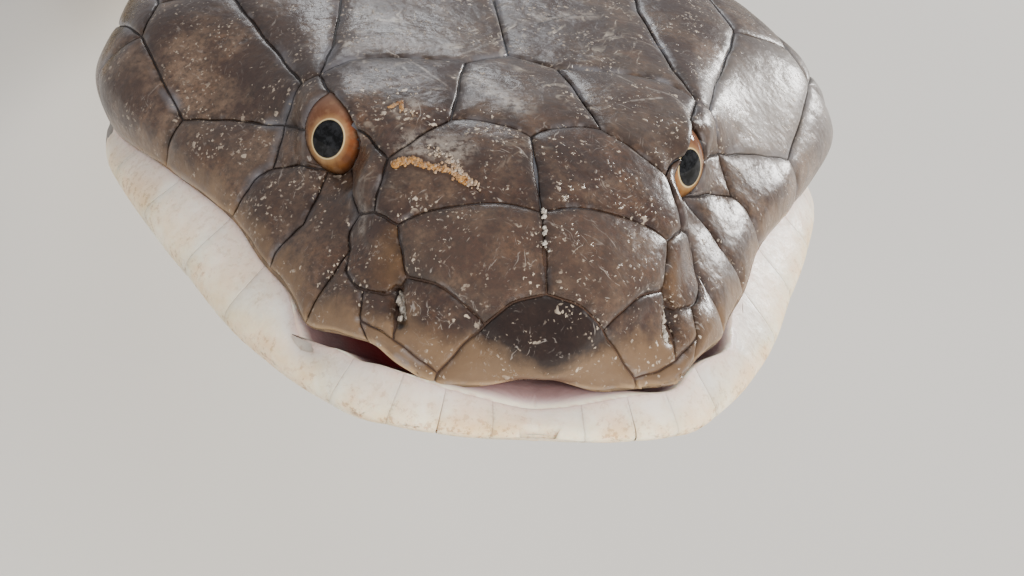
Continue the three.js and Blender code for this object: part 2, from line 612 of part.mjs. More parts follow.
const skin = (colour) => new THREE.MeshStandardMaterial({ color: colour, roughness: 0.45, metalness: 0 });

function named(name, geometry, material, place = [0, 0, 0]) {
  const mesh = new THREE.Mesh(geometry, material);
  mesh.name = name;
  mesh.position.set(...place);
  return mesh;
}

const snake = new THREE.Group();
const headGroup = new THREE.Group();
headGroup.position.set(...HEAD_AT);
headGroup.add(named('head', headGeometry(), skin(0x5f564b)));
headGroup.add(named('lower_jaw', jawGeometry(), skin(0xe4ddcc)));
const eyeGlass = new THREE.MeshStandardMaterial({ color: 0x8a5a2c, roughness: 0.1, metalness: 0 });
headGroup.add(named('eye_left', ball(EYE_RADIUS, [0, 0, 0], 2), eyeGlass, EYE_CENTRE));
headGroup.add(named('eye_right', ball(EYE_RADIUS, [0, 0, 0], 2), eyeGlass.clone(),
  [-EYE_CENTRE[0], EYE_CENTRE[1], EYE_CENTRE[2]]));
snake.add(headGroup);

LENGTHS.forEach(([name, end], index) => {
  const start = index ? LENGTHS[index - 1][1] : 0;
  const shortened = end === BODY_LENGTH ? end : end - JOINT_GAP;
  snake.add(named(name, tube(start, shortened), skin(0x4f4a38)));
});

export default snake;
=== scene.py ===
import math

import bmesh
import bpy
import numpy as np
from mathutils import Matrix, Vector, kdtree

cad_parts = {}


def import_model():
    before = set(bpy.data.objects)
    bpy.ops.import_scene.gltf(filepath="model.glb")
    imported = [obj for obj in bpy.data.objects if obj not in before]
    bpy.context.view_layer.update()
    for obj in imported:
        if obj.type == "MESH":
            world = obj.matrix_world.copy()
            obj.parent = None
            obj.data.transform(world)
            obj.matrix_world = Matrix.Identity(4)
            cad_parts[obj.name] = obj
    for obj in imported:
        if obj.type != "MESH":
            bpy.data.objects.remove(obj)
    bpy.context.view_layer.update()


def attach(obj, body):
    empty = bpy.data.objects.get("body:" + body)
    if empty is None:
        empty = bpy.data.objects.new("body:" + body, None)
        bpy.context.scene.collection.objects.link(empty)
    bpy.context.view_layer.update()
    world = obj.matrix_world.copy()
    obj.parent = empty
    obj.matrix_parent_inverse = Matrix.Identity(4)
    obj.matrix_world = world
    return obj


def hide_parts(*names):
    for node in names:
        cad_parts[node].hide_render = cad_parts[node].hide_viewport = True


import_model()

# Camera: the photograph's close view of the face, from in front, 29 degrees above and a little to the
# snake's right. Millimetres here are counted from the notch of the upper lip, as everywhere on the head.
MM = 0.001
HEAD_AT = np.array([39.7, -612.5, 120.0])


def world(places):
    return (np.asarray(places, float) + HEAD_AT) * MM


CAMERA_RAISED, CAMERA_TURNED, CAMERA_ROLLED = (math.radians(value) for value in (29.0, 13.9, 9.85))
CAMERA_AIM = Vector((0, 22, 8))
CAMERA_AWAY, CAMERA_ASIDE, CAMERA_UP = 240.0, 0.41, 9.35
LENS_MM, SENSOR_MM = 90.14, 36.0
back = Vector((-math.sin(CAMERA_TURNED) * math.cos(CAMERA_RAISED),
               -math.cos(CAMERA_TURNED) * math.cos(CAMERA_RAISED), math.sin(CAMERA_RAISED)))
level = Vector((math.cos(CAMERA_TURNED), -math.sin(CAMERA_TURNED), 0))
upright = back.cross(level)
right = level * math.cos(CAMERA_ROLLED) + upright * math.sin(CAMERA_ROLLED)
up = upright * math.cos(CAMERA_ROLLED) - level * math.sin(CAMERA_ROLLED)
camera_data = bpy.data.cameras.new("camera")
camera_data.lens = LENS_MM
camera_data.sensor_width = SENSOR_MM
camera_data.clip_start = 0.01
camera = bpy.data.objects.new("camera", camera_data)
bpy.context.scene.collection.objects.link(camera)
place = CAMERA_AIM + back * CAMERA_AWAY - right * CAMERA_ASIDE - up * CAMERA_UP
camera.matrix_world = Matrix.Translation(world(place)) @ Matrix((right, up, back)).transposed().to_4x4()
bpy.context.scene.camera = camera

# Skin: the whole snake's soft hide, from the snout to the tail's tip, in one piece with the lining of
# the mouth. The head follows rails from the snout to the neck, and the body follows its bends. Distances
# are counted from the back of the head, and degrees round the body from the middle of the back.
NECK_Y, NECK_Z = 92, -6.5
BODY_LENGTH, HEAD_LIFT, SLOPE_LENGTH = 3908, 95, 360
BELLY_FLAT, HEIGHT_TO_WIDTH = 0.86, 0.92
BODY_WIDTH = [(0, 23.5), (150, 21.5), (500, 25), (1100, 28.5), (1900, 30.5), (2600, 28),
              (3050, 22.5), (3300, 16.5), (3600, 9.5), (3850, 3.6), (3908, 1.2)]
TURNS = [(210, 320, -80), (560, 410, 174), (1010, 280, 10), (1340, 430, -184), (1820, 250, -12),
         (2110, 400, 178), (2560, 200, 12), (2790, 350, -164), (3180, 360, -52), (3560, 330, 90)]
# Where the rails meet the neck, in degrees round it, from the back's middle and from the belly's
LIP_ANGLE, FLAT_ANGLE = 104, 149.3
UPPER_ANGLES = [0, 36, 62, 86, LIP_ANGLE]
LOWER_ANGLES = [180, FLAT_ANGLE, 134, 118, LIP_ANGLE]
RAIL_SHARES = np.linspace(0, 1, 5)
# Rails of the head's left half from the snout to the neck: the middle line first, the lip's edge last
UPPER_RAILS = [
    [(0, 0.6, 3.4), (0, 4.3, 7.2), (0, 7.6, 9.5), (0, 11.2, 11.4), (0, 20, 14.4),
     (0, 29, 15.2), (0, 38, 15), (0, 51, 15.2), (0, 64, 15.6), (0, 78, 15.8)],
    [(0, 0.2, 2.5), (4.6, 3.2, 5.8), (8.4, 7.3, 7.6), (11, 11.8, 9), (14, 19.6, 11.9),
     (17.3, 28, 13.5), (18, 37.5, 13.9), (19, 51, 14.4), (19.5, 65, 14.2), (17.5, 79, 13.4)],
    [(0, 0.2, 1.6), (5.4, 2.6, 3.2), (10.6, 6.6, 3.9), (14.4, 11.2, 4.6), (16.4, 18, 6.4),
     (19.4, 26.5, 8), (25.6, 36.5, 8.4), (32.5, 49.5, 10.2), (33, 63, 8.6), (28.2, 77, 6)],
    [(0, 0.6, 0.8), (5.9, 2.1, 1.2), (11.3, 4.6, 1.4), (15.7, 8.4, 1.8), (20.4, 18.2, 3.2),
     (24.4, 26.2, 4.4), (31, 36, 4.8), (38, 48.5, 4), (37, 61.5, 1), (32.2, 76, -2)],
    [(0, 1.9, -0.2), (5.6, 1.4, -1.2), (11, 3, -0.9), (15.3, 6.2, -0.3), (22.5, 17.4, 0),
     (26, 25.4, 1.2), (31.6, 35, 0.9), (36.5, 47.3, -1.6), (36.6, 60, -4.6), (32.2, 75, -8)],
]
LOWER_RAILS = [
    [(0, -0.6, -5.3), (0, 3.9, -7.6), (0, 8.4, -9.2), (0, 13, -10.9), (0, 22, -12.8),
     (0, 31, -14.2), (0, 40, -15.8), (0, 53, -18.2), (0, 66, -20.6), (0, 80, -23.2)],
    [(0, -0.9, -5.0), (4.6, 2.4, -7.2), (8.5, 6.3, -8.8), (12, 11, -10.4), (16.4, 19.4, -11.8),
     (18.6, 29, -12.6), (20.8, 38.5, -13.8), (22, 51, -16), (21.5, 65, -18.6), (18, 79, -21.6)],
    [(0, -1.3, -4.6), (5.5, 0.2, -5.7), (10.9, 3.1, -6.6), (15.4, 7.3, -7.9), (22.2, 17.3, -8.5),
     (26, 25.9, -8.1), (30.1, 36.1, -8.3), (32.4, 48.5, -9.6), (31.6, 62, -13.2), (28, 77, -16.5)],
    [(0, -1.6, -3.9), (5.9, -1.8, -4.0), (12.2, -0.2, -4.3), (17.5, 3.8, -4.8), (25.2, 14.4, -4.4),
     (29.4, 23.3, -3.6), (34, 34.2, -3.1), (37.1, 46.5, -4.7), (35.8, 60, -8), (31.3, 75, -11.5)],
    [(0, 0.9, -2.9), (5.7, 0.8, -1.75), (11.1, 2.6, -1.15), (15.4, 6.5, -0.95), (22, 17.4, -0.05),
     (25.6, 25.5, 1.1), (31.2, 35.1, 0.75), (36.3, 47.3, -1.8), (36.6, 60, -4.75), (32.2, 75, -8.15)],
]
# The real lips sag and gape unevenly: where, how far round, and the shift there
UPPER_SHIFTS = [((-18.8, 11.3, -0.2), 3.2, (-0.85, -0.5, -1.2)), ((-14.4, 5.2, -0.4), 2.0, (0.25, 0.2, 0.5)),
                ((-8.8, 2.1, -1.1), 2.2, (-0.1, -0.25, -0.5)), ((18.2, 10.3, -0.2), 3.2, (0.5, -0.3, -0.3)),
                ((12.6, 3.9, -0.7), 3.0, (0.35, -0.4, -0.6))]
LOWER_SHIFTS = [((-18.3, 11.0, -0.5), 3.6, (-1.6, -0.75, -2.0)),
                ((-15.2, 6.2, -1.0), 2.0, (-0.3, -0.2, -0.6)),
                ((18.6, 11.0, -0.5), 3.6, (1.5, -0.7, -0.65)), ((12.6, 3.6, -1.1), 3.0, (0.35, -0.4, -0.6))]
# The back of the real head lies a little to the snake's left of its middle, most at this place behind
HEAD_ASIDE, HEAD_ASIDE_AT, HEAD_ASIDE_REACH = 1.0, 56, 20


def smooth_step(t):
    t = np.clip(t, 0, 1)
    return t ** 3 * (10 - 15 * t + 6 * t * t)


def cubic(a, b, c, d, f):
    """Smooth way through four points, at the share f between the middle two."""
    return 0.5 * (2 * b + (c - a) * f + (2 * a - 5 * b + 4 * c - d) * f ** 2
                  + (3 * b - a - 3 * c + d) * f ** 3)


def section(degrees, width):
    """Across and up from the middle of the body's section."""
    height = width * HEIGHT_TO_WIDTH
    turned = np.radians(degrees)
    return width * np.sin(turned), np.maximum(height * np.cos(turned), -BELLY_FLAT * height)


def to_neck(rails, angles):
    """Rails led on to the neck's section, with one more point before and after for the curve."""
    ends = [section(angle, BODY_WIDTH[0][1]) for angle in angles]
    full = np.array([rail + [(across, NECK_Y, NECK_Z + rise)]
                     for rail, (across, rise) in zip(rails, ends)], float)
    before = full[:, 1] * [-1, 1, 1]
    after = 2 * full[:, -1] - full[:, -2]
    return np.concatenate([before[:, None], full, after[:, None]], 1)


UPPER = to_neck(UPPER_RAILS, UPPER_ANGLES)
LOWER = to_neck(LOWER_RAILS, LOWER_ANGLES)
STATIONS = len(UPPER_RAILS[0])


def uneven(places, shifts):
    """Places shifted as the real head leans and its lips sag."""
    aside = HEAD_ASIDE * np.exp(-((places[..., 1] - HEAD_ASIDE_AT) / HEAD_ASIDE_REACH) ** 2)
    moved = np.concatenate([places[..., :1] + aside[..., None], places[..., 1:]], -1)
    for middle, reach, shift in shifts:
        near = np.exp(-(((places - middle) / reach) ** 2).sum(-1))
        moved = moved + near[..., None] * shift
    return moved


def head_surface(rails, across, along):
    """Places across from -1 at the right lip to 1 at the left, along from 0 at the snout to 1."""
    across, along = np.broadcast_arrays(np.asarray(across, float), np.asarray(along, float))
    shape = across.shape
    across, along = across.ravel(), along.ravel()
    t = np.clip(along * STATIONS, 0, STATIONS - 1e-9)
    index = np.floor(t).astype(int)
    four = [rails[:, index + k].transpose(1, 0, 2) for k in range(4)]
    half = cubic(*four, (t - index)[:, None, None])
    whole = np.concatenate([half[:, :0:-1] * [-1, 1, 1], half], 1)
    whole = np.concatenate([2 * whole[:, :1] - whole[:, 1:2], whole,
                            2 * whole[:, -1:] - whole[:, -2:-1]], 1)
    t = np.clip((across + 1) * 4, 0, 8 - 1e-9)
    index = np.floor(t).astype(int)
    rows = np.arange(len(index))
    four = [whole[rows, index + k] for k in range(4)]
    shifts = LOWER_SHIFTS if rails is LOWER else UPPER_SHIFTS
    return uneven(cubic(*four, (t - index)[:, None]), shifts).reshape(shape + (3,))


def head_normal(rails, across, along, outward):
    """Ways straight out of the head: outward is 1 for the upper head and -1 for the lower jaw."""
    step = 0.004
    along = np.clip(along, 0.012, 1)
    side = head_surface(rails, np.clip(across + step, -1, 1), along) - head_surface(
        rails, np.clip(across - step, -1, 1), along)
    way = head_surface(rails, across, np.clip(along + step, 0, 1)) - head_surface(
        rails, across, np.clip(along - step, 0, 1))
    normal = np.cross(side, way) * outward
    return normal / np.maximum(np.linalg.norm(normal, axis=-1, keepdims=True), 1e-9)


def belly_line():
    """Middle of the belly at each millimetre of the body: place, heading and slope."""
    rows = []
    x = y = along = 0.0
    for distance in range(BODY_LENGTH + 1):
        heading = sum(math.radians(turn) * float(smooth_step((distance - start) / length))
                      for start, length, turn in TURNS)
        t = min(along / SLOPE_LENGTH, 1)
        slope = -HEAD_LIFT * 30 * t * t * (1 - t) ** 2 / SLOPE_LENGTH
        rows.append((x, y, HEAD_LIFT * (1 - float(smooth_step(t))), heading, slope))
        level_step = 1 / math.hypot(1, slope)
        x += math.sin(heading) * level_step
        y += math.cos(heading) * level_step
        along += level_step
    return np.array(rows)


BELLY_LINE = belly_line()


def body_width(distance):
    at, width = np.array(BODY_WIDTH, float).T
    index = np.clip(np.searchsorted(at, distance) - 1, 0, len(at) - 2)
    t = np.clip((distance - at[index]) / (at[index + 1] - at[index]), 0, 1)
    return width[index] + (width[index + 1] - width[index]) * t * t * (3 - 2 * t)


def body_surface(distance, degrees, lift=0.0):
    """Places on the body: distance behind the head, degrees round from the back, lift off the skin."""
    distance, degrees = np.broadcast_arrays(np.asarray(distance, float), np.asarray(degrees, float))
    steps = np.arange(BODY_LENGTH + 1)
    x, y, z, heading, slope = (np.interp(distance, steps, column) for column in BELLY_LINE.T)
    lean = np.hypot(1, slope)
    forward = np.stack([np.sin(heading), np.cos(heading), 0 * x], -1)
    side = np.stack([np.cos(heading), -np.sin(heading), 0 * x], -1)
    rise_way = -forward * (slope / lean)[..., None]
    rise_way[..., 2] = 1 / lean
    width = body_width(distance)
    across, rise = section(degrees, width)
    middle = np.stack([x, y + NECK_Y, z - HEAD_AT[2]], -1)
    middle = middle + rise_way * (BELLY_FLAT * HEIGHT_TO_WIDTH * width)[..., None]
    flat = np.abs(degrees) > FLAT_ANGLE
    across = across + lift * np.where(flat, 0, np.sin(np.radians(degrees)))
    rise = rise + lift * np.where(flat, -1, np.cos(np.radians(degrees)))
    return middle + side * across[..., None] + rise_way * rise[..., None]


UPPER_SPOTS = np.concatenate([np.linspace(-1, 0, 41), np.linspace(0, 1, 41)[1:]])
LOWER_SPOTS = np.concatenate([np.linspace(-1, 0, 33), np.linspace(0, 1, 33)[1:]])
HEAD_ROWS = np.concatenate([np.linspace(0, 0.5, 81), np.linspace(0.5, 1, 51)[1:]])
MOUTH_CORNER = 0.745
# The skin lies this deep under the scales and shields, less under the snout's shields
SKIN_DEPTH, SNOUT_SKIN_DEPTH, LIP_SKIN_DEPTH = 0.5, 0.12, 0.3
HEAD_LENGTH = 140
EYE_RADIUS = 4.9
# The opening of the eye, forward and up of the pupil: an almond with its point at the top
EYE_SHAPE = np.array([(-2.2, 3.9), (-1.0, 3.7), (0.1, 3.35), (1.5, 2.45), (2.6, 1.35), (3.0, 0.3),
                      (2.95, -0.9), (2.5, -2.1), (1.7, -2.8), (0.5, -2.85), (-0.6, -2.4), (-1.7, -1.5),
                      (-2.5, -0.3), (-3.0, 1.1), (-3.0, 2.5)])
EYE_TURNS = np.linspace(-math.pi, math.pi, 72, endpoint=False)
NOSTRIL_TOP = np.array([12.75, 8.0, 3.8])
NOSTRIL_FOOT = np.array([12.2, 5.9, 2.0])
NOSTRIL_WAY = np.array([-0.55, 0.83, 0.05])


class Eye:
    """One eye, in millimetres of the snake's left side; the right one is mirrored when it is placed."""

    def __init__(self, centre, axis, hood, hood_turn):
        self.centre = np.array(centre, float)
        self.hood, self.hood_turn = hood, hood_turn
        self.axis = np.array(axis) / np.linalg.norm(axis)
        self.top = np.array([0, 0, 1]) - self.axis * self.axis[2]
        self.top /= np.linalg.norm(self.top)
        self.front = np.cross(self.axis, self.top)
        self.front *= -1 if self.front[1] > 0 else 1
        angle = np.arctan2(EYE_SHAPE[:, 1], EYE_SHAPE[:, 0])
        order = np.argsort(angle)
        self.angles, self.reaches = angle[order], np.hypot(*EYE_SHAPE.T)[order]
        rim = self.rim(EYE_TURNS)
        self.drops = (rim - head_surface(UPPER, *self.on_head(rim).T)) @ self.axis

    def reach(self, turn):
        return np.interp(turn, self.angles, self.reaches, period=2 * math.pi)

    def rim(self, turn):
        reach = self.reach(turn) + 0.05
        brow = self.hood * (0.5 + 0.5 * np.cos(turn - self.hood_turn)) ** 2
        deep = np.sqrt(EYE_RADIUS ** 2 - reach ** 2) + brow
        return (self.centre + (reach * np.cos(turn))[..., None] * self.front
                + (reach * np.sin(turn))[..., None] * self.top + deep[..., None] * self.axis)

    def on_head(self, places):
        """Across and along of the places on the head that lie on the eye's axis with these."""
        across, along = np.meshgrid(np.linspace(0.1, 0.75, 66), np.linspace(0.3, 0.62, 65), indexing="ij")
        surface = head_surface(UPPER, across, along)
        found = []
        for place in places:
            offset = surface - place
            aside = offset - (offset @ self.axis)[..., None] * self.axis
            best = np.argmin((aside ** 2).sum(-1))
            spot = np.array([across.ravel()[best], along.ravel()[best]])
            for _ in range(5):
                here = head_surface(UPPER, *spot)
                gap = place - here
                frame_ways = np.array([self.front, self.top])
                slopes = np.array([(head_surface(UPPER, *(spot + step)) - here) / 0.002
                                   for step in ((0.002, 0), (0, 0.002))])
                spot = spot + np.clip(np.linalg.solve(frame_ways @ slopes.T, frame_ways @ gap), -0.02, 0.02)
            found.append(spot)
        return np.array(found)

    def settle(self, places, beneath=0.5, edge=None):
        """Draw what lies round the eye onto the eyeball's rim, and press what is under it inside the ball."""
        offset = places - self.centre
        forward, rise, deep = offset @ self.front, offset @ self.top, offset @ self.axis
        turn, out = np.arctan2(rise, forward), np.hypot(forward, rise)
        beyond = out - self.reach(turn)
        drop = np.interp(turn, EYE_TURNS, self.drops, period=2 * math.pi)
        share = (1 - smooth_step(beyond / 3.4)) * (deep > -1) * (out < 9)
        moved = deep + drop * share
        inside = (beyond < -0.02) & (deep > 0)
        ball = np.sqrt(np.maximum(EYE_RADIUS ** 2 - out ** 2, 0)) - beneath
        moved = np.where(inside, np.minimum(moved, ball), moved)
        if edge is not None:
            moved = np.where(edge & (beyond < 0.4) & (deep > 0), np.minimum(moved, ball), moved)
        return places + (moved - deep)[..., None] * self.axis


def press_nostril(points):
    """The slit of the nostril, pressed into what lies there."""
    way = NOSTRIL_TOP - NOSTRIL_FOOT
    offset = points - NOSTRIL_FOOT
    share = np.clip(offset @ way / (way @ way), 0, 1)
    gap = np.linalg.norm(offset - share[..., None] * way, axis=-1)
    return points + np.exp(-(gap / 0.62) ** 3)[..., None] * NOSTRIL_WAY * 1.7


def head_openings(places, beneath=0.5, edge=None):
    """Fit what lies on the upper head to the eyes and nostrils of both sides."""
    for eye, sign in ((RIGHT_EYE, -1), (LEFT_EYE, 1)):
        side = places * [sign, 1, 1]
        settled = press_nostril(eye.settle(side, beneath, edge))
        places = np.where((side[..., 0] > 0)[..., None], settled, side) * [sign, 1, 1]
    return places


def grid_faces(rows, columns, turned=False):
    row, column = np.meshgrid(np.arange(rows - 1), np.arange(columns - 1), indexing="ij")
    first = (row * columns + column).ravel()
    corners = [first, first + 1, first + columns + 1, first + columns]
    return np.stack(corners[::-1] if turned else corners, 1)


def closed_faces(rows, columns):
    """Faces between rows of points that each go once round."""
    row, column = np.meshgrid(np.arange(rows - 1), np.arange(columns), indexing="ij")
    following = (column + 1) % columns
    corners = [row * columns + column, row * columns + following,
               (row + 1) * columns + following, (row + 1) * columns + column]
    return np.stack([corner.ravel() for corner in corners], 1)


def fan_faces(ring, middle, turned=False):
    """Triangles from a ring of points to one in its middle, written as faces of four corners."""
    corners = [ring, np.roll(ring, -1), np.full(len(ring), middle), np.full(len(ring), middle)]
    return np.stack([corners[1], corners[0]] + corners[2:] if turned else corners, 1)


# Colours of the hide, the same for the skin and for the scales that lie on it, as sRGB shares
BACK_BROWN = (0.36, 0.335, 0.26)
FLANK_BROWN = (0.44, 0.40, 0.31)
BAND_TAN = (0.62, 0.57, 0.43)
TAIL_BLACK = (0.15, 0.14, 0.12)
THROAT_CREAM = (0.86, 0.80, 0.66)
BELLY_GREY = (0.58, 0.54, 0.44)
HEAD_UMBER = (0.31, 0.262, 0.222)
LIP_CREAM = (0.88, 0.84, 0.76)
GROOVE_DARK = (0.17, 0.14, 0.13)
LIP_TAN = (0.58, 0.47, 0.36)
LINING_PINK = (0.76, 0.68, 0.68)
# Mauve grey of the lining, partly its own tint and partly painted shade behind the lips
LINING_MAUVE_AND_SHADE = (0.52, 0.42, 0.42)
LINING_DEEP = (0.70, 0.28, 0.29)
GROOVE_BROWN = (0.29, 0.215, 0.175)
BAND_SPACING = 74.0


def linear(colour):
    colour = np.asarray(colour, float)
    return np.where(colour <= 0.04045, colour / 12.92, ((colour + 0.055) / 1.055) ** 2.4)


def mixed(first, second, share):
    """A share of the second colour over the first, which is a named colour or one mixed already."""
    share = np.asarray(share, float)[..., None]
    first = linear(first) if isinstance(first, tuple) else first
    return first * (1 - share) + linear(second) * share


def coat_colour(distance, degrees):
    """Colour of the hide at a distance behind the head and degrees round from the back."""
    turned = np.abs(degrees)
    colour = mixed(BACK_BROWN, FLANK_BROWN, smooth_step((turned - 30) / 70))
    phase = (distance + turned * 0.16) / BAND_SPACING
    middle = np.abs(phase - np.round(phase)) * BAND_SPACING
    strength = 0.75 * smooth_step((distance - 20) / 500) * (1 - 0.5 * smooth_step((turned - 60) / 60))
    colour = mixed(colour, BAND_TAN, (1 - smooth_step((middle - 5) / 7)) * strength)
    dark = smooth_step((distance - 2700) / 900) * smooth_step((middle - 10) / 10) * 0.6
    colour = mixed(colour, TAIL_BLACK, dark)
    belly = mixed(THROAT_CREAM, BELLY_GREY, smooth_step((distance - 250) / 700))
    share = smooth_step((turned - 108) / 14)[..., None]
    colour = colour * (1 - share) + belly * share
    return mixed(colour, HEAD_UMBER, (1 - smooth_step((distance + 10) / 160)) * (turned < 112))


parts, faces, colours, wets, maps = [], [], [], [], []


def add_part(places, part_faces, colour, wet, across, along):
    """Add a sheet of the skin: its faces count from its own first point, across and along are its map."""
    faces.append(part_faces + sum(map(len, parts)))
    parts.append(places.reshape(-1, 3))
    colours.append(np.broadcast_to(colour, places.shape).reshape(-1, 3))
    wets.append(np.broadcast_to(wet, places.shape[:-1]).ravel())
    across, along = np.broadcast_arrays(across, along)
    maps.append(np.stack([across.ravel(), along.ravel()], 1))


def skin_depth(along, least):
    return least + (SKIN_DEPTH - least) * smooth_step((along - 0.8) / 0.15)


upper_v, upper_u = np.meshgrid(HEAD_ROWS, UPPER_SPOTS, indexing="ij")
upper = head_surface(UPPER, upper_u, upper_v)
upper -= head_normal(UPPER, upper_u, upper_v, 1) * skin_depth(upper_v, SNOUT_SKIN_DEPTH)[..., None]
lower_v, lower_u = np.meshgrid(HEAD_ROWS, LOWER_SPOTS, indexing="ij")
lower = head_surface(LOWER, lower_u, lower_v)
lower -= head_normal(LOWER, lower_u, lower_v, -1) * (
    skin_depth(lower_v, LIP_SKIN_DEPTH) * (1 - np.abs(lower_u) ** 30))[..., None]
corner_row = int(np.searchsorted(HEAD_ROWS, MOUTH_CORNER))
for edge in (0, -1):
    upper[corner_row:, edge] = lower[corner_row:, edge] = (
        upper[corner_row:, edge] + lower[corner_row:, edge]) / 2
LEFT_EYE = Eye((14.2, 27.2, 9.0), (0.558, -0.768, 0.315), 2.2, 0.85)
RIGHT_EYE = Eye((15.4, 27.5, 9.3), (0.545, -0.765, 0.345), 0.85, 0.9)
upper = head_openings(upper)

upper_degrees = np.sign(UPPER_SPOTS) * np.interp(np.abs(UPPER_SPOTS), RAIL_SHARES, UPPER_ANGLES)
lower_side = np.where(LOWER_SPOTS < 0, -1, 1)
lower_degrees = lower_side * np.interp(np.abs(LOWER_SPOTS), RAIL_SHARES, LOWER_ANGLES)
ring_degrees = np.concatenate([upper_degrees, lower_degrees[-2:0:-1]])
body_rows = np.concatenate([np.linspace(0, 30, 4), np.arange(40, BODY_LENGTH, 10.0), [BODY_LENGTH]])
body_s, body_a = np.meshgrid(body_rows, ring_degrees, indexing="ij")
body_depth = SKIN_DEPTH * np.minimum(1, body_width(body_s) / 12)
body = body_surface(body_s, body_a, -body_depth)
body[0, :len(UPPER_SPOTS)] = upper[-1]
body[0, len(UPPER_SPOTS):] = lower[-1, -2:0:-1]

# The grooves between the shields: brown on the snout, darker behind, with a grey film in patches
upper_colour = mixed(GROOVE_BROWN, GROOVE_DARK, smooth_step((upper_v - 0.1) / 0.35))
film = smooth_step(0.8 * (np.sin(upper_u * 11 + upper_v * 23) + np.sin(upper_u * 7 - upper_v * 31)))
film *= smooth_step((upper_v - 0.24) / 0.1) * smooth_step((0.45 - np.abs(upper_u)) / 0.1)
upper_colour = mixed(upper_colour, (0.42, 0.43, 0.46), film * 0.55)
upper_colour = mixed(upper_colour, (0.45, 0.38, 0.30), smooth_step((np.abs(upper_u) - 0.93) / 0.06) * 0.8)
nape = smooth_step((upper_v - 0.78) / 0.1)[..., None]
nape_colour = coat_colour((upper_v - 1) * HEAD_LENGTH, np.broadcast_to(upper_degrees, upper_v.shape))
upper_colour = upper_colour * (1 - nape) + nape_colour * 0.45 * nape
add_part(upper, grid_faces(*upper.shape[:2]), upper_colour, 0.0, upper_u * 0.5 + 0.5, upper_v * 0.1)
lip_share = smooth_step((np.abs(lower_u) - 0.9) / 0.1) * 0.7
lower_colour = mixed(linear(LIP_CREAM) * 0.92, (0.80, 0.66, 0.60), lip_share)
add_part(lower, grid_faces(*lower.shape[:2], turned=True), lower_colour, 0.25, lower_u * 0.5 + 0.5,
         lower_v * 0.1 + 0.11)
add_part(body, closed_faces(*body.shape[:2]), coat_colour(body_s, body_a) * 0.5, 0.0,
         body_a / 360 + 0.5, 0.25 + body_s / BODY_LENGTH * 0.7)
tip = body[-1].mean(0) + (body[-1] - body[-2]).mean(0) * 0.1
add_part(tip[None], fan_faces(np.arange(-body.shape[1], 0), 0), coat_colour(BODY_LENGTH, 0), 0.0, 0.5, 0.96)


def edge_distance(places, outline, weights=(1, 1, 1)):
    """Distance of each place from the nearest stretch of a closed outline."""
    way = np.roll(outline, -1, 0) - outline
    nearest = np.full(len(places), 1e9)
    for first, step in zip(outline, way):
        offset = (places - first) * weights
        step = step * weights
        share = np.clip(offset @ step / max(step @ step, 1e-12), 0, 1)
        nearest = np.minimum(nearest, ((offset - share[:, None] * step) ** 2).sum(1))
    return np.sqrt(nearest)


# Places across the lining, from the right lip to the left, closest together near the lips
LINING_SHARES = np.concatenate([[0, 0.012, 0.03, 0.06, 0.1], np.linspace(0.15, 0.85, 15),
                                [0.9, 0.94, 0.97, 0.988, 1]])


def mouth_sheet(right_lip, left_lip, rise, depth):
    """Roof or floor of the mouth, from lip to lip, with each place's distance behind the lip's edge."""
    share = LINING_SHARES[None, :, None]
    width = np.linalg.norm(left_lip - right_lip, axis=1)[:, None]
    sheet = right_lip[:, None] * (1 - share) + left_lip[:, None] * share
    inward = np.minimum(LINING_SHARES, 1 - LINING_SHARES) * width
    lip_edge = np.concatenate([right_lip[::-1], left_lip])
    along = HEAD_ROWS[:corner_row + 1, None]
    closing = 1 - smooth_step((along / MOUTH_CORNER - 0.8) / 0.2)
    front = 1 - smooth_step(along / 0.3)
    turned_in = 1 - np.exp(-inward / depth)
    sheet[..., 2] += rise * turned_in * np.minimum(1, width / 14) * closing
    sheet[..., 1] += 4.5 * np.minimum(1, inward / 2.5) * front
    if rise < 0:
        behind = edge_distance(sheet.reshape(-1, 3), lip_edge, (1, 1, 0)).reshape(inward.shape)
        gum = (1 - np.exp(-behind / 1.2)) * np.exp(-(behind / 4.0) ** 2)
        sheet[..., 2] += gum * (0.8 + 0.2 * front) * closing - rise * turned_in * front * 0.5
    return sheet, edge_distance(sheet.reshape(-1, 3), lip_edge).reshape(inward.shape)


# The roof and the floor of the mouth end in the same row, at the corners
for half, lip_colour, sheet_rise, sheet_depth, turned, map_start in (
        (upper, LIP_TAN, 1.6, 1.6, True, 0.0), (lower, LIP_CREAM, -2.6, 3.4, False, 0.35)):
    sheet, behind = mouth_sheet(half[:corner_row + 1, 0], half[:corner_row + 1, -1], sheet_rise, sheet_depth)
    if turned:
        roof_end = sheet[-1]
    sheet[-1] = roof_end
    # The lining turns from the lip's colour to pink, then to a darker mauve grey further behind the lip,
    # partly its own tint and partly painted shade under the lips, and red deep inside
    lining = mixed(lip_colour, LINING_PINK, smooth_step((behind - 0.1) / 0.6))
    lining = mixed(lining, LINING_MAUVE_AND_SHADE, smooth_step((behind - 0.1) / 1.2))
    lining = mixed(lining, LINING_DEEP, smooth_step((behind - 3.6) / 3.2))
    across = np.broadcast_to(LINING_SHARES, behind.shape) * 0.3 + map_start
    add_part(sheet, grid_faces(*sheet.shape[:2], turned=turned), lining, 1.0, across, 0.97)

mesh = bpy.data.meshes.new("skin")
mesh.from_pydata(world(np.concatenate(parts)).tolist(), [], np.concatenate(faces).tolist())


def colour_attribute(mesh, name, values):
    attribute = mesh.color_attributes.new(name, "FLOAT_COLOR", "POINT")
    rgba = np.ones((len(values), 4), np.float32)
    rgba[:, :3] = values
    attribute.data.foreach_set("color", rgba.ravel())


def number_attribute(mesh, name, values):
    attribute = mesh.attributes.new(name, "FLOAT", "POINT")
    attribute.data.foreach_set("value", np.asarray(values, np.float32).ravel())


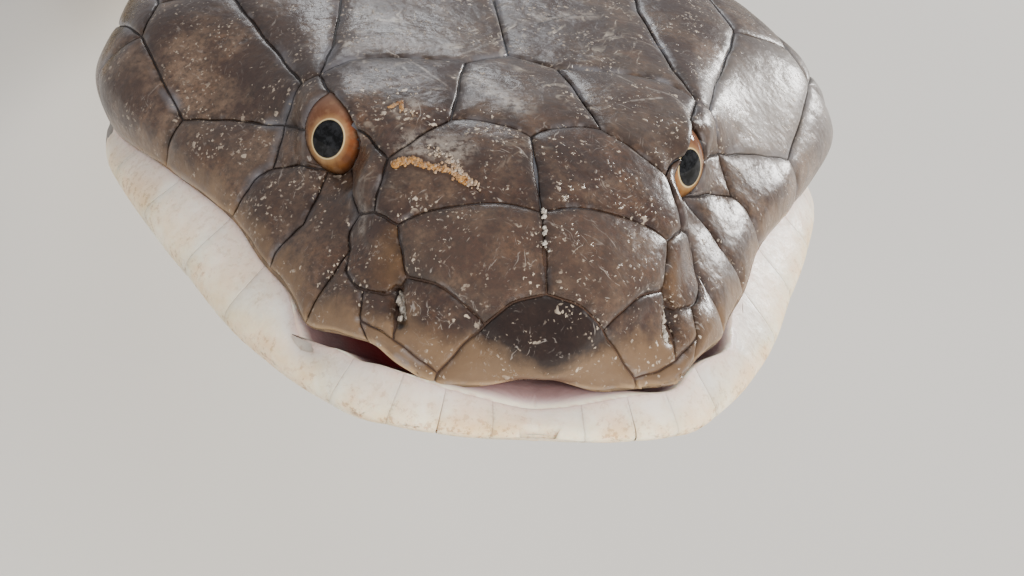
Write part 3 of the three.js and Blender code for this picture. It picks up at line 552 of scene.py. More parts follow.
def bake_map(mesh, places):
    layer = mesh.uv_layers.new(name="OFBake")
    corners = np.zeros(len(mesh.loops), np.int32)
    mesh.loops.foreach_get("vertex_index", corners)
    layer.data.foreach_set("uv", np.asarray(places, np.float32)[corners].ravel())


colour_attribute(mesh, "coat", np.concatenate(colours))
number_attribute(mesh, "wet", np.concatenate(wets))
bake_map(mesh, np.concatenate(maps))
welded = bmesh.new()
welded.from_mesh(mesh)
bmesh.ops.remove_doubles(welded, verts=welded.verts, dist=1.5e-5)
bmesh.ops.dissolve_degenerate(welded, edges=welded.edges, dist=1e-6)
welded.to_mesh(mesh)
welded.free()
mesh.shade_smooth()
skin = bpy.data.objects.new("skin", mesh)
bpy.context.scene.collection.objects.link(skin)


class Nodes:
    """One material's nodes, with sizes in millimetres and colours as sRGB shares."""

    def __init__(self, name):
        self.material = bpy.data.materials.new(name)
        self.material.use_nodes = True
        self.tree = self.material.node_tree
        self.shader = self.tree.nodes["Principled BSDF"]
        coordinates = self.tree.nodes.new("ShaderNodeTexCoord")
        self.place = self.scaled(coordinates.outputs["Object"], 1 / MM)

    def run(self, kind, inputs, output=0, **settings):
        node = self.tree.nodes.new(kind)
        for key, value in settings.items():
            setattr(node, key, value)
        for key, value in inputs.items():
            socket = node.inputs[key]
            if isinstance(value, bpy.types.NodeSocket):
                self.tree.links.new(value, socket)
            else:
                socket.default_value = value
        return node.outputs[output]

    def maths(self, operation, first, second=0.0, clamp=False):
        return self.run("ShaderNodeMath", {0: first, 1: second}, operation=operation, use_clamp=clamp)

    def noise(self, size, detail=3.0, roughness=0.55, place=None, distortion=0.0):
        """Noise whose lumps are about size millimetres across."""
        return self.run("ShaderNodeTexNoise", {
            "Vector": place or self.place, "Scale": 1.0 / size, "Detail": detail,
            "Roughness": roughness, "Distortion": distortion})

    def ramp(self, value, low, high, to_low=0.0, to_high=1.0):
        return self.run("ShaderNodeMapRange", {
            "Value": value, "From Min": low, "From Max": high, "To Min": to_low, "To Max": to_high})

    def times(self, first, second):
        return self.maths("MULTIPLY", first, second)

    def most(self, first, *others):
        """The greatest of several values."""
        for value in others:
            first = self.maths("MAXIMUM", first, value)
        return first

    def mix(self, share, first, second):
        node = self.tree.nodes.new("ShaderNodeMix")
        node.data_type = "RGBA"
        for index, value in ((0, share), (6, first), (7, second)):
            if isinstance(value, bpy.types.NodeSocket):
                self.tree.links.new(value, node.inputs[index])
            elif index:
                node.inputs[index].default_value = (*linear(value), 1.0)
            else:
                node.inputs[index].default_value = value
        return node.outputs[2]

    def attribute(self, name, output="Fac"):
        return self.run("ShaderNodeAttribute", {}, output, attribute_name=name)

    def over(self, colour, layers):
        """A colour with layers over it, each a share and a colour of its own."""
        for share, layer in layers:
            colour = self.mix(share, colour, layer)
        return colour

    def scaled(self, vector, share):
        return self.run("ShaderNodeVectorMath", {0: vector, "Scale": share}, operation="SCALE")

    def added(self, vector, other):
        return self.run("ShaderNodeVectorMath", {0: vector, 1: other}, operation="ADD")

    def bump(self, height, strength, distance_mm):
        return self.run("ShaderNodeBump", {
            "Height": height, "Strength": strength, "Distance": distance_mm * MM})

    def link(self, value, socket):
        self.tree.links.new(value, self.shader.inputs[socket])


hide = Nodes("hide")
mottle = hide.ramp(hide.noise(6, 5), 0.3, 0.7, 0.82, 1.15)
hide.link(hide.scaled(hide.attribute("coat", "Color"), mottle), "Base Color")
hide.link(hide.ramp(hide.attribute("wet"), 0, 1, 0.55, 0.16), "Roughness")
hide.link(hide.bump(hide.noise(0.6, 4), 0.5, 0.15), "Normal")
hide.shader.inputs["Subsurface Weight"].default_value = 0.15
hide.shader.inputs["Subsurface Radius"].default_value = (1.0, 0.4, 0.25)
hide.shader.inputs["Subsurface Scale"].default_value = 0.0015
mesh.materials.append(hide.material)
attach(skin, "root")
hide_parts("head", "lower_jaw", "neck", *[f"body_{number}" for number in range(1, 10)],
            "tail_base", "tail_tip")

# Shields of the head: large smooth plates of horn, each its own raised and gently domed patch with its
# edge rolled down into a thin dark groove. Corners are where the real seams meet, left side given.
PLACES = {
    "notch": (0, 1.9, -0.2), "notch_side": (4.2, 1.4, -1.1),
    "rostral_top": (0, 4.1, 7), "rostral_side": (5.3, 2.9, 4.3), "rostral_low": (8.9, 2.6, -0.2),
    "rostral_lip": (9.2, 2.2, -1.1),
    "nose_mid": (0, 11.1, 11.4), "nose_side": (12.5, 12.5, 8.5), "nose_low": (11.7, 8.6, 5.4),
    "brow_mid": (0, 20, 14.4), "brow_side": (7.1, 22.6, 14.3), "canthus_rear": (13.1, 18.8, 11.9),
    "canthus": (14.3, 14.9, 8.4), "cheek_front": (15.4, 16.4, 7.2),
    "nasal_back": (16.1, 14.3, 4.7), "nasal_foot": (15.1, 10, 3.2),
    "nostril_top": (12.7, 8.1, 3.6), "nostril_foot": (12.9, 5, 0.8),
    "first_top": (15.5, 7.6, 1.3), "first_lip": (15.1, 6, -0.2), "second_lip": (19, 11.6, -0.1),
    "third_top": (17.6, 22.2, 7.4), "third_mid": (19.9, 19.4, 4.3), "third_low": (22.3, 18.8, 1.4),
    "third_lip": (22.6, 18.1, 0.2),
    "fourth_mid": (24.5, 26, 4.1), "fourth_lip": (25.8, 25.4, 1.4),
    "frontal_rear": (4.5, 33.6, 15.1), "frontal_tip": (0, 36.1, 15),
    "eye_front": (14.9, 20.6, 11.9), "eye_foot": (16.2, 20.3, 8.8),
    "eye_top": (18.2, 29, 12.8), "eye_rear": (19.7, 28.1, 9.5),
    "brow_rear": (15.5, 34, 14.3), "brow_back": (18.4, 32, 13.3), "upper_back": (19.5, 32.3, 11.9),
    "post_back": (21.4, 30.6, 8.7), "post_foot": (22.4, 26.8, 6),
    "temporal_low": (26, 34.2, 7.1), "jaw_rear": (30.6, 36.7, 5.5), "fifth_lip": (31.8, 35.6, 1),
    "temporal_rear": (34.8, 48.8, 8.4), "temporal_top": (33.2, 53.5, 10),
    "wedge_front": (23.4, 42.4, 12.4), "wedge_side": (26.3, 51, 12.7),
    "parietal_front": (16.9, 37.7, 14.2), "parietal_side": (15.3, 49.7, 14.8),
    "sixth_out": (38, 51, 3.2), "sixth_lip": (36.6, 48.5, -1.8),
    "seventh_top": (37, 59, 5), "seventh_lip": (36.8, 58, -4),
    "wedge_end": (24.8, 60, 12.6), "parietal_end": (16.5, 61, 14.4),
    "parietal_rear": (10.5, 67, 15), "parietal_mid": (0, 62, 15.6),
    "rear_temporal_out": (33.5, 65, 8.6), "rear_temporal_in": (24.5, 69, 12),
    "rear_temporal_low": (36, 67, 3.5),
    "occipital_out": (15, 75, 14), "occipital_rear": (9.5, 86, 14.2), "occipital_mid": (0, 83, 15.6),
    "nape_side": (20.5, 79, 12),
}
MIDDLE_SHIELDS = {
    "rostral": ["notch", "notch_side", "rostral_lip", "rostral_low", "rostral_side", "rostral_top"],
    "frontal": ["brow_mid", "brow_side", "frontal_rear", "frontal_tip"],
}
SIDE_SHIELDS = {
    "internasal": ["rostral_top", "rostral_side", "nose_low", "nose_side", "nose_mid"],
    "prefrontal": ["nose_mid", "nose_side", "canthus", "canthus_rear", "brow_side", "brow_mid"],
    "supraocular": ["brow_side", "canthus_rear", "eye_front", "eye_top", "brow_back", "brow_rear",
                    "frontal_rear"],
    "parietal": ["frontal_tip", "frontal_rear", "brow_rear", "brow_back", "parietal_front",
                 "parietal_side", "parietal_end", "parietal_rear", "parietal_mid"],
    "prenasal": ["rostral_side", "rostral_low", "nostril_foot", "nostril_top", "nose_low"],
    "postnasal": ["nose_low", "nostril_top", "nasal_foot", "nasal_back", "cheek_front", "canthus",
                  "nose_side"],
    "lower_nasal": ["nostril_top", "nostril_foot", "first_top", "nasal_foot"],
    "first_labial": ["rostral_low", "rostral_lip", "first_lip", "first_top", "nostril_foot"],
    "second_labial": ["nasal_foot", "first_top", "first_lip", "second_lip", "nasal_back"],
    "third_labial": ["cheek_front", "nasal_back", "second_lip", "third_lip", "third_low", "third_mid",
                     "third_top", "eye_foot"],
    "preocular": ["canthus", "cheek_front", "eye_foot", "eye_front", "canthus_rear"],
    "fourth_labial": ["third_top", "third_mid", "third_low", "third_lip", "fourth_lip", "fourth_mid",
                      "post_foot"],
    "lower_postocular": ["third_top", "post_foot", "post_back", "eye_rear"],
    "upper_postocular": ["eye_rear", "post_back", "upper_back", "brow_back", "eye_top"],
    "fifth_labial": ["post_foot", "fourth_mid", "fourth_lip", "fifth_lip", "jaw_rear", "temporal_low",
                     "post_back"],
    "temporal": ["post_back", "temporal_low", "jaw_rear", "temporal_rear", "temporal_top", "wedge_side",
                 "wedge_front", "upper_back"],
    "wedge_temporal": ["brow_back", "upper_back", "wedge_front", "wedge_side", "wedge_end",
                       "parietal_end", "parietal_side", "parietal_front"],
    "sixth_labial": ["jaw_rear", "fifth_lip", "sixth_lip", "sixth_out", "temporal_rear"],
    "seventh_labial": ["temporal_rear", "sixth_out", "sixth_lip", "seventh_lip", "seventh_top"],
    "rear_temporal": ["wedge_side", "temporal_top", "rear_temporal_out", "rear_temporal_in", "wedge_end"],
    "low_temporal": ["temporal_top", "temporal_rear", "seventh_top", "rear_temporal_low",
                     "rear_temporal_out"],
    "occipital": ["parietal_mid", "parietal_rear", "occipital_out", "occipital_rear", "occipital_mid"],
    "side_occipital": ["parietal_end", "wedge_end", "rear_temporal_in", "nape_side", "occipital_out",
                       "parietal_rear"],
}
# Seams that bow: millimetres to the right of the way from the first corner to the second
BOWS = {
    ("nose_side", "nose_mid"): 1.2, ("brow_side", "brow_mid"): 0.8, ("nasal_foot", "nasal_back"): 1,
    ("rostral_side", "rostral_top"): 0.5, ("nose_low", "rostral_side"): 0.9,
    ("cheek_front", "nasal_back"): -0.8, ("fourth_mid", "post_foot"): 0.5,
    ("brow_rear", "frontal_rear"): 0.6, ("post_foot", "third_top"): 0.5,
}
# Corners of the shields round the eye: their directions in degrees from the front, turning up
EYE_CORNERS = {"eye_front": 38, "eye_foot": -38, "third_top": -82, "eye_rear": 182, "eye_top": 122}
SEAM_HALF = 0.05
SEAM_STEP = 0.5


class Surface:
    """The upper head's or the lower jaw's surface, for laying plates on it."""

    def __init__(self, rails, outward):
        self.rails, self.outward = rails, outward
        self.along, self.across = np.meshgrid(np.linspace(0.004, 1, 260), np.linspace(-1, 1, 301),
                                              indexing="ij")
        points = head_surface(rails, self.across, self.along).reshape(-1, 3)
        self.across, self.along = self.across.ravel(), self.along.ravel()
        self.tree = kdtree.KDTree(len(points))
        for number, point in enumerate(points):
            self.tree.insert(point, number)
        self.tree.balance()

    def nearest(self, places):
        """Across and along of the places on the surface nearest to these, by a few steps downhill."""
        found = np.array([self.tree.find(place)[1] for place in places])
        across, along = self.across[found], self.along[found]
        step = 0.002
        for _ in range(4):
            here = head_surface(self.rails, across, along)
            side = (head_surface(self.rails, across + step, along) - here) / step
            way = (head_surface(self.rails, across, along + step) - here) / step
            gap = places - here
            ss, sw, ww = (side * side).sum(1), (side * way).sum(1), (way * way).sum(1)
            gs, gw = (gap * side).sum(1), (gap * way).sum(1)
            scale = ss * ww - sw * sw + 1e-6 * ss * ww + 1e-9
            tried = (np.clip(across + np.clip((gs * ww - gw * sw) / scale, -0.01, 0.01), -1, 1),
                     np.clip(along + np.clip((gw * ss - gs * sw) / scale, -0.005, 0.005), 0.002, 1))
            closer = ((places - head_surface(self.rails, *tried)) ** 2).sum(1) < (gap ** 2).sum(1)
            across, along = np.where(closer, tried[0], across), np.where(closer, tried[1], along)
        return across, along

    def lift(self, across, along, height):
        return head_surface(self.rails, across, along) + head_normal(
            self.rails, across, along, self.outward) * np.asarray(height)[..., None]


def seam_steps(way):
    """Shares along a seam, about SEAM_STEP millimetres apart, without its end."""
    return np.linspace(0, 1, max(2, round(float(np.linalg.norm(way)) / SEAM_STEP)), endpoint=False)[:, None]


def eye_arc(eye, start, end):
    """Points on the head over the eye's rim between two corners, the short way round."""
    first, last = (math.radians(EYE_CORNERS[name]) for name in (start, end))
    turn = (last - first + math.pi) % (2 * math.pi) - math.pi
    turns = first + turn * np.linspace(0, 1, max(4, int(abs(turn) * 10)), endpoint=False)
    return head_surface(UPPER, *eye.on_head(eye.rim(turns)).T)


def seam(eye, start, end):
    """Points along the seam between two corners, bowed and swaying a little."""
    if start in EYE_CORNERS and end in EYE_CORNERS:
        return eye_arc(eye, start, end)
    first, last = (eye_arc(eye, name, name)[0] if name in EYE_CORNERS else np.array(PLACES[name], float)
                   for name in (start, end))
    way = last - first
    aside = np.cross(way, (first + last) / 2 - [0, 20, 0])
    aside /= max(np.linalg.norm(aside), 1e-9)
    t = seam_steps(way)
    bow = 4 * t * (1 - t) * BOWS.get((start, end), -BOWS.get((end, start), 0))
    forward = start < end
    sway = np.sin((t if forward else 1 - t) * 9 + sum(map(ord, start + end)) * 0.7) * np.sin(math.pi * t)
    sway *= (0.1 if forward else -0.1) * min(1, np.linalg.norm(way) / 6)
    return first + way * t + aside * (bow + sway)


def side_outline(eye, names):
    return np.concatenate([seam(eye, name, names[(i + 1) % len(names)]) for i, name in enumerate(names)])


def middle_outline(names):
    """Outline of a shield on the middle line, from the corners of its left half."""
    left = np.concatenate([seam(LEFT_EYE, name, names[i + 1]) for i, name in enumerate(names[:-1])]
                          + [np.array([PLACES[names[-1]]], float)])
    inner = left[1:-1] if PLACES[names[0]][0] == 0 else left
    return np.concatenate([left, inner[::-1] * [-1, 1, 1]])


# A plate's height over the skin by the distance in from its edge, in millimetres
PLATE_RINGS = [0.0, 0.05, 0.12, 0.22, 0.38, 0.62, 1.0, 1.6]
PLATE_HEIGHTS = [(0.0, -0.25), (0.04, -0.02), (0.1, 0.07), (0.2, 0.14), (0.4, 0.22), (0.8, 0.31),
                 (1.5, 0.39), (3.0, 0.48), (6.0, 0.57), (12.0, 0.62)]
PLATE_INNER = [0.2, 0.3, 0.4, 0.5, 0.6, 0.7, 0.8, 0.9]


def plate(surface, outline, rise=1.0, seam_half=SEAM_HALF, dome=2.5):
    """Closed raised plate inside an outline: places, faces, distance in from the edge, across, along."""
    centre = outline.mean(0)
    ahead = np.roll(outline, -1, 0) - np.roll(outline, 1, 0)
    ahead /= np.maximum(np.linalg.norm(ahead, axis=1, keepdims=True), 1e-9)
    inward = centre - outline
    inward -= ahead * (inward * ahead).sum(1, keepdims=True)
    inward /= np.maximum(np.linalg.norm(inward, axis=1, keepdims=True), 1e-9)
    rim = outline + inward * seam_half
    outward = centre - [0, 30, 0]
    top = centre + outward / np.linalg.norm(outward) * dome
    reach = np.linalg.norm(top - rim, axis=1)[:, None]
    shares = [np.minimum(inset / reach, 0.14 * inset / PLATE_RINGS[-1]) for inset in PLATE_RINGS]
    shares += PLATE_INNER
    levels = [rim + (top - rim) * share for share in shares]
    places = np.concatenate(levels + [top[None], centre[None]])
    across, along = surface.nearest(places)
    flat = head_surface(surface.rails, across, along)
    depth = edge_distance(flat, flat[:len(rim)])
    depth[:len(rim)] = 0
    height = rise * np.interp(depth, *np.array(PLATE_HEIGHTS).T)
    height[-1] = -0.6 * rise
    depth[-1] = 0
    points = surface.lift(across, along, height)
    size, end = len(rim), len(rim) * len(levels)
    first = np.arange(size)
    plate_faces = np.concatenate([closed_faces(len(levels), size), fan_faces(end - size + first, end),
                                  fan_faces(first, end + 1, turned=True)])
    inner = size * 2
    corners = points[plate_faces[inner]]
    normal = np.cross(corners[1] - corners[0], corners[3] - corners[0])
    if normal @ head_normal(surface.rails, across[inner], along[inner], surface.outward) < 0:
        plate_faces = plate_faces[:, ::-1]
    return points, plate_faces, depth, across, along


def solid_object(name, pieces, material):
    """One object from many plates, each a tuple of places, faces and a dict of values for its points."""
    start, places, all_faces, values = 0, [], [], {}
    for points, piece_faces, extra in pieces:
        places.append(points)
        all_faces.append(piece_faces + start)
        start += len(points)
        for key, value in extra.items():
            value = value if np.ndim(value) == 2 else np.broadcast_to(value, len(points))
            values.setdefault(key, []).append(value)
    new_mesh = bpy.data.meshes.new(name)
    lists = [list(dict.fromkeys(row)) for row in np.concatenate(all_faces).tolist()]
    new_mesh.from_pydata(world(np.concatenate(places)).tolist(), [], [row for row in lists if len(row) > 2])
    for key, value in values.items():
        value = np.concatenate(value)
        if key == "map":
            bake_map(new_mesh, value)
        elif value.ndim == 2:
            colour_attribute(new_mesh, key, value)
        else:
            number_attribute(new_mesh, key, value)
    new_mesh.shade_smooth()
    new_mesh.materials.append(material)
    thing = bpy.data.objects.new(name, new_mesh)
    bpy.context.scene.collection.objects.link(thing)
    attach(thing, "root")
    return thing


upper_skin = Surface(UPPER, 1)
lower_skin = Surface(LOWER, -1)
rng = np.random.default_rng(7)
# How far up from the lip the tan border of each lip shield reaches, in millimetres
TAN_REACH = {"rostral": 2.9, "prenasal": 4.8, "lower_nasal": 3.6, "first_labial": 3.4,
             "second_labial": 2.9, "third_labial": 2.3, "fourth_labial": 1.9, "fifth_labial": 1.7,
             "sixth_labial": 1.6, "seventh_labial": 1.3}
ROSTRAL_TONE = -3
shield_pieces, shield_outlines = [], []


def add_shield(name, outline):
    outline = uneven(outline, UPPER_SHIFTS)
    points, piece_faces, depth, across, along = plate(upper_skin, outline)
    points = head_openings(points, 0.25, depth <= 0)
    from_lip = np.linalg.norm(points - head_surface(UPPER, np.where(across < 0, -1, 1), along), axis=1)
    tan_reach = TAN_REACH.get(name, -9)
    if name == "rostral":
        tone, pale = ROSTRAL_TONE, 1.5 * (tan_reach - points[:, 2] - 1) + 0.30 * np.abs(points[:, 0]) + 0.1
    else:
        tone, pale = rng.uniform(-1, 1), tan_reach - from_lip
    # rim: nearness to the lip's edge, where a cream highlight is painted
    shield_pieces.append((points, piece_faces, {
        "depth": depth, "tone": tone, "pale": pale, "rim": np.clip(1 - from_lip / 0.7, 0, 1),
        "amber": float(name == "postnasal"), "map": np.stack([across * 0.5 + 0.5, along], 1)}))
    shield_outlines.append(np.stack(upper_skin.nearest(outline), 1))


for name, names in MIDDLE_SHIELDS.items():
    add_shield(name, middle_outline(names))
for name, names in SIDE_SHIELDS.items():
    add_shield(name, side_outline(LEFT_EYE, names))
    add_shield(name, side_outline(RIGHT_EYE, names) * [-1, 1, 1])

# Marks of the real animal's life, by their places on the head: the scar, and the second mark over it
SCAR_PATH = [(-12.9, 17.6, 12.0), (-11.3, 17.6, 12.6), (-9.5, 16.4, 12.5), (-8.1, 15.9, 12.7),
             (-6.3, 14.2, 12.3)]
SCAR_END = [(-12.6, 24.4, 14.2), (-11.5, 25.1, 14.5), (-11.6, 23.8, 14.3)]
# Grey rubbed patches, pits and gashes: from, to, and the reach of their full and their faded part
PATCHES = [((-10.6, 19.2, 13.4), (-7.2, 18.2, 13.2), 0.6, 2.6),
           ((-4.6, 29.8, 15.5), (-0.4, 24.0, 15.4), 0.2, 1.7),
           ((4.6, 44.6, 15.5), (10.4, 46.2, 15.4), 0.1, 1.3),
           ((-11.8, 24.0, 14.2), (-10.2, 24.6, 14.4), 0.2, 1.4),
           ((-14.9, 17.6, 9.4), (-15.4, 14.4, 6.6), 0.0, 0.7)]
PITS = [((-26.4, 43.1, 10.9), (-26.2, 43.3, 11.0), 0.15, 0.7),
        ((-24.5, 42.2, 11.6), (-24.3, 42.4, 11.7), 0.15, 0.6)]
GASHES = [((5.3, 44.8, 15.6), (11.0, 46.3, 15.5), 0.02, 0.24),
          ((4.2, 42.9, 15.6), (8.6, 45.8, 15.6), 0.02, 0.2)]
SCRAPES = [[(-9.6, 32.7, 15.4), (-8.0, 29.6, 15.5), (-6.1, 26.8, 15.4)],
           [(-9.9, 30.2, 15.5), (-7.2, 28.2, 15.5)], [(-10.6, 31.4, 15.4), (-9.4, 27.5, 15.4)],
           [(13.2, 30.9, 15.0), (15.6, 30.4, 14.7), (17.3, 28.6, 14.1), (17.6, 25.9, 13.3)],
           [(10.5, 27.4, 15.3), (14.4, 29.3, 14.9)], [(-3.4, 26.2, 15.5), (-0.3, 27.4, 15.6)],
           [(-6.9, 33.0, 15.5), (-3.2, 36.0, 15.5), (1.0, 40.5, 15.7)]]

horn = Nodes("shield_horn")
spot = horn.added(horn.place, tuple(-HEAD_AT))
sideways, backward, upward = horn.run("ShaderNodeSeparateXYZ", {0: spot}).node.outputs
left_and_right = horn.maths("ABSOLUTE", sideways)
side_spot = horn.run("ShaderNodeCombineXYZ", {0: left_and_right, 1: backward, 2: upward})


def near_line(first, last, low, high, place=spot):
    """1 within low millimetres of the line from first to last, 0 beyond high."""
    way = np.array(last, float) - np.array(first, float)
    offset = horn.run("ShaderNodeVectorMath", {0: place, 1: tuple(first)}, operation="SUBTRACT")
    share = horn.run("ShaderNodeVectorMath", {0: offset, 1: tuple(way / (way @ way))}, "Value",
                     operation="DOT_PRODUCT")
    foot = horn.scaled(tuple(way), horn.maths("MULTIPLY", share, 1.0, clamp=True))
    gap = horn.run("ShaderNodeVectorMath", {0: offset, 1: foot}, "Value", operation="DISTANCE")
    return horn.ramp(gap, low, high, 1, 0)


def near_path(path, low, high):
    return horn.most(*[near_line(first, last, low, high) for first, last in zip(path, path[1:])])


def moved_place(shift):
    return horn.added(horn.place, (shift, shift, shift))


def scratched(size, stretch, patch_size, seed, turns, least=0.66):
    """Thin lines in several directions, gathered in patches."""
    sway = horn.run("ShaderNodeTexNoise", {"Vector": horn.place, "Scale": 0.3}, "Color")
    curved = horn.added(horn.place, horn.scaled(sway, 2.6))
    found = []
    for number, turn in enumerate(turns):
        shift = seed + number * 7.3
        turned = horn.run("ShaderNodeMapping", {
            "Vector": curved, "Location": (shift, shift * 2, shift * 0.5),
            "Rotation": (0.25, 0.3 - 0.2 * number, turn), "Scale": (1.0, 1 / stretch, 3.0)},
            vector_type="TEXTURE")
        lines = horn.ramp(horn.noise(size, 2.0, 0.5, turned, 1.2), least, least + 0.06)
        patch = horn.noise(patch_size, 3, 0.6, moved_place(shift))
        found.append(horn.times(lines, horn.ramp(patch, 0.54, 0.62)))
    return horn.most(*found)


def specks(spacing, size, share):
    """Small uneven specks of differing size, about spacing millimetres apart."""
    sway = horn.run("ShaderNodeTexNoise", {"Vector": horn.place, "Scale": 0.44 / size, "Detail": 1}, "Color")
    place = horn.added(horn.place, horn.scaled(sway, 4.0 * size))
    cells = horn.run("ShaderNodeTexVoronoi", {"Vector": place, "Scale": 1 / spacing}, "Color")
    chance, width = horn.run("ShaderNodeSeparateColor", {0: cells}).node.outputs[:2]
    reach = horn.ramp(width, 0, 1, 0.25 * size / spacing, size / spacing)
    beyond = horn.maths("SUBTRACT", cells.node.outputs["Distance"], reach)
    inside = horn.ramp(beyond, 0.0, 0.06 / spacing, 1, 0)
    return horn.times(inside, horn.maths("LESS_THAN", chance, share))


broad = horn.noise(9, 4, 0.6)
cloud = horn.noise(2.6, 5, 0.65)
grain = horn.noise(0.5, 4, 0.7)
stain = horn.noise(4.5, 5, 0.7, moved_place(30.0))
tone = horn.attribute("tone")
depth = horn.attribute("depth")
crown = horn.ramp(backward, 12, 34)
cheek = horn.ramp(left_and_right, 15, 27)
umber = horn.ramp(horn.noise(7.0, 4, 0.65, moved_place(63.0)), 0.44, 0.56, 0, 0.75)
folds = horn.times(scratched(0.8, 0.16, 7.0, 77.0, (2.0, 1.2, 2.6), 0.60),
                   horn.ramp(cloud, 0.42, 0.62, 0.1, 0.7))
folds = horn.times(folds, horn.ramp(cheek, 0, 0.5, 1, 0))
# Dark umber on the snout, greyer over the crown, and browner and lighter on the cheeks
colour = horn.mix(crown, (0.232, 0.150, 0.115), (0.268, 0.222, 0.200))
colour = horn.over(colour, [
    (cheek, (0.445, 0.36, 0.295)), (horn.ramp(broad, 0.40, 0.60, 0, 0.7), (0.135, 0.090, 0.075)),
    (horn.ramp(cloud, 0.44, 0.70, 0, 0.6), (0.43, 0.345, 0.275)),
    (horn.ramp(stain, 0.54, 0.68, 0, 0.55), (0.36, 0.25, 0.17)),
    (horn.ramp(grain, 0.42, 0.66, 0, 0.65), (0.12, 0.092, 0.08)),
    (horn.ramp(tone, -1, 1, 0.0, 0.2), (0.42, 0.36, 0.31)),
    (horn.ramp(tone, ROSTRAL_TONE, -1, 0.85, 0.0), (0.088, 0.040, 0.024)),
    (horn.ramp(backward, 48, 82, 0, 0.7), (0.30, 0.255, 0.215)),
    (horn.times(umber, crown), (0.185, 0.125, 0.105)), (horn.times(folds, crown), (0.72, 0.68, 0.62))])
# Olive tan along the lips with a painted cream highlight on the lip's very edge, an amber stain on the shield
# behind the nostril, and edges greyed in patches
edge_level = horn.maths("ADD", horn.attribute("pale"), horn.ramp(cloud, 0.3, 0.7, -0.9, 0.9))
lower_edge = horn.times(horn.ramp(edge_level, -1.1, 1.3), horn.ramp(stain, 0.3, 0.6, 0.95, 0.75))
rim = horn.times(horn.attribute("rim"), lower_edge)
amber_level = horn.maths("ADD", near_line((12.2, 11.2, 7.8), (12.9, 9.2, 5.4), 0.3, 3.0, side_spot),
                         horn.ramp(cloud, 0.3, 0.7, -0.25, 0.25), clamp=True)
amber = horn.times(horn.times(amber_level, 0.6), horn.attribute("amber"))
# Plate edges greyed in patches
greyed_edges = horn.times(horn.ramp(depth, 0.1, 0.5, 1, 0), horn.ramp(horn.noise(1.7, 3), 0.53, 0.66))
colour = horn.over(colour, [
    (lower_edge, (0.440, 0.350, 0.260)), (horn.times(rim, 0.85), (0.78, 0.66, 0.50)),
    (amber, (0.37, 0.265, 0.15)), (horn.times(greyed_edges, 0.45), (0.50, 0.49, 0.50))])
# Seams darkened unevenly, fainter toward the snout and the lips, with a grey film over some of them
seam_uneven = horn.noise(1.4, 4, 0.65)
seam_dark = horn.times(horn.ramp(depth, 0.0, horn.ramp(seam_uneven, 0.32, 0.68, 0.04, 0.20), 0.95, 0.0),
                       horn.ramp(lower_edge, 0, 0.7, 1, 0.3))
seam_dark = horn.times(seam_dark, horn.ramp(backward, 8, 34, 0.7, 1))
seam_soft = horn.times(horn.ramp(depth, 0.0, 1.1, 0.85, 0), horn.ramp(seam_uneven, 0.36, 0.6))
seam_dark = horn.most(seam_dark, horn.times(seam_soft, horn.ramp(lower_edge, 0, 0.7, 1, 0.2)))
film = horn.times(horn.ramp(horn.noise(6.0, 3, 0.6, moved_place(51.0)), 0.47, 0.6), crown)
seam_dark = horn.times(seam_dark, horn.ramp(film, 0, 1, 1, 0.25))
seam_pale = horn.times(film, horn.ramp(depth, 0.05, 0.9, 0.55, 0))
# The nostril's slit, painted near-black as the shade inside it
nostril = near_line(NOSTRIL_TOP, NOSTRIL_FOOT, 0.25, 0.6, side_spot)
# The marks, and a pale painted glare on the jowl on the snake's left
ragged = horn.noise(0.7, 4, 0.7)
patches = horn.times(horn.most(*[near_line(*mark) for mark in PATCHES]),
                     horn.ramp(horn.noise(0.8, 4, 0.7), 0.40, 0.56))
painted_jowl_glare = horn.times(near_line((27.0, 38.5, 9.5), (33.5, 48.0, 7.0), 1.5, 9.0),
                  horn.ramp(stain, 0.2, 0.6, 1, 0.6))
grime = horn.most(near_path(SCAR_PATH, 0.4, 1.3), near_path(SCAR_END, 0.3, 1.0))
grime = horn.ramp(horn.maths("ADD", grime, ragged), 0.95, 1.25)
pits = horn.times(horn.most(*[near_line(*mark) for mark in PITS]), horn.ramp(ragged, 0.35, 0.5))
gashes = horn.most(*[near_line(*mark) for mark in GASHES])
scrapes = horn.most(near_path(SCRAPES[0], 0.02, 0.24), *[near_path(path, 0.02, 0.22) for path in SCRAPES[1:]])
fine_scratches = scratched(0.26, 0.14, 5.0, 3.0, (0.4, 1.5, -0.7, 2.3, 0.9))
long_scratches = scratched(0.3, 0.05, 8.0, 41.0, (0.9, -0.3))
marked = horn.most(horn.times(fine_scratches, 0.5), horn.times(long_scratches, 0.6))
marked = horn.most(horn.times(marked, horn.ramp(cheek, 0, 1, 1.0, 0.5)),
                   horn.times(scrapes, horn.ramp(ragged, 0.35, 0.55, 0, 0.75)))
crowd = horn.ramp(horn.noise(4.0, 3, 0.6, moved_place(11.0)), 0.48, 0.62)
dust = horn.times(horn.most(specks(0.42, 0.12, 0.5), specks(1.0, 0.26, 0.4)), crowd)
dust = horn.times(horn.most(dust, specks(1.3, 0.16, 0.3)), horn.ramp(cheek, 0, 1, 1.0, 0.6))
colour = horn.over(colour, [
    (seam_dark, (0.115, 0.078, 0.062)), (seam_pale, (0.46, 0.47, 0.50)),
    (horn.times(nostril, 0.9), (0.05, 0.035, 0.03)), (horn.times(patches, 0.75), (0.58, 0.54, 0.50)),
    (horn.times(painted_jowl_glare, 0.75), (0.62, 0.60, 0.58)), (horn.times(grime, 0.8), (0.22, 0.15, 0.10)),
    (horn.times(horn.most(pits, gashes), 0.85), (0.10, 0.065, 0.05)), (marked, (0.62, 0.59, 0.56)),
    (horn.times(dust, 0.8), (0.74, 0.68, 0.61))])
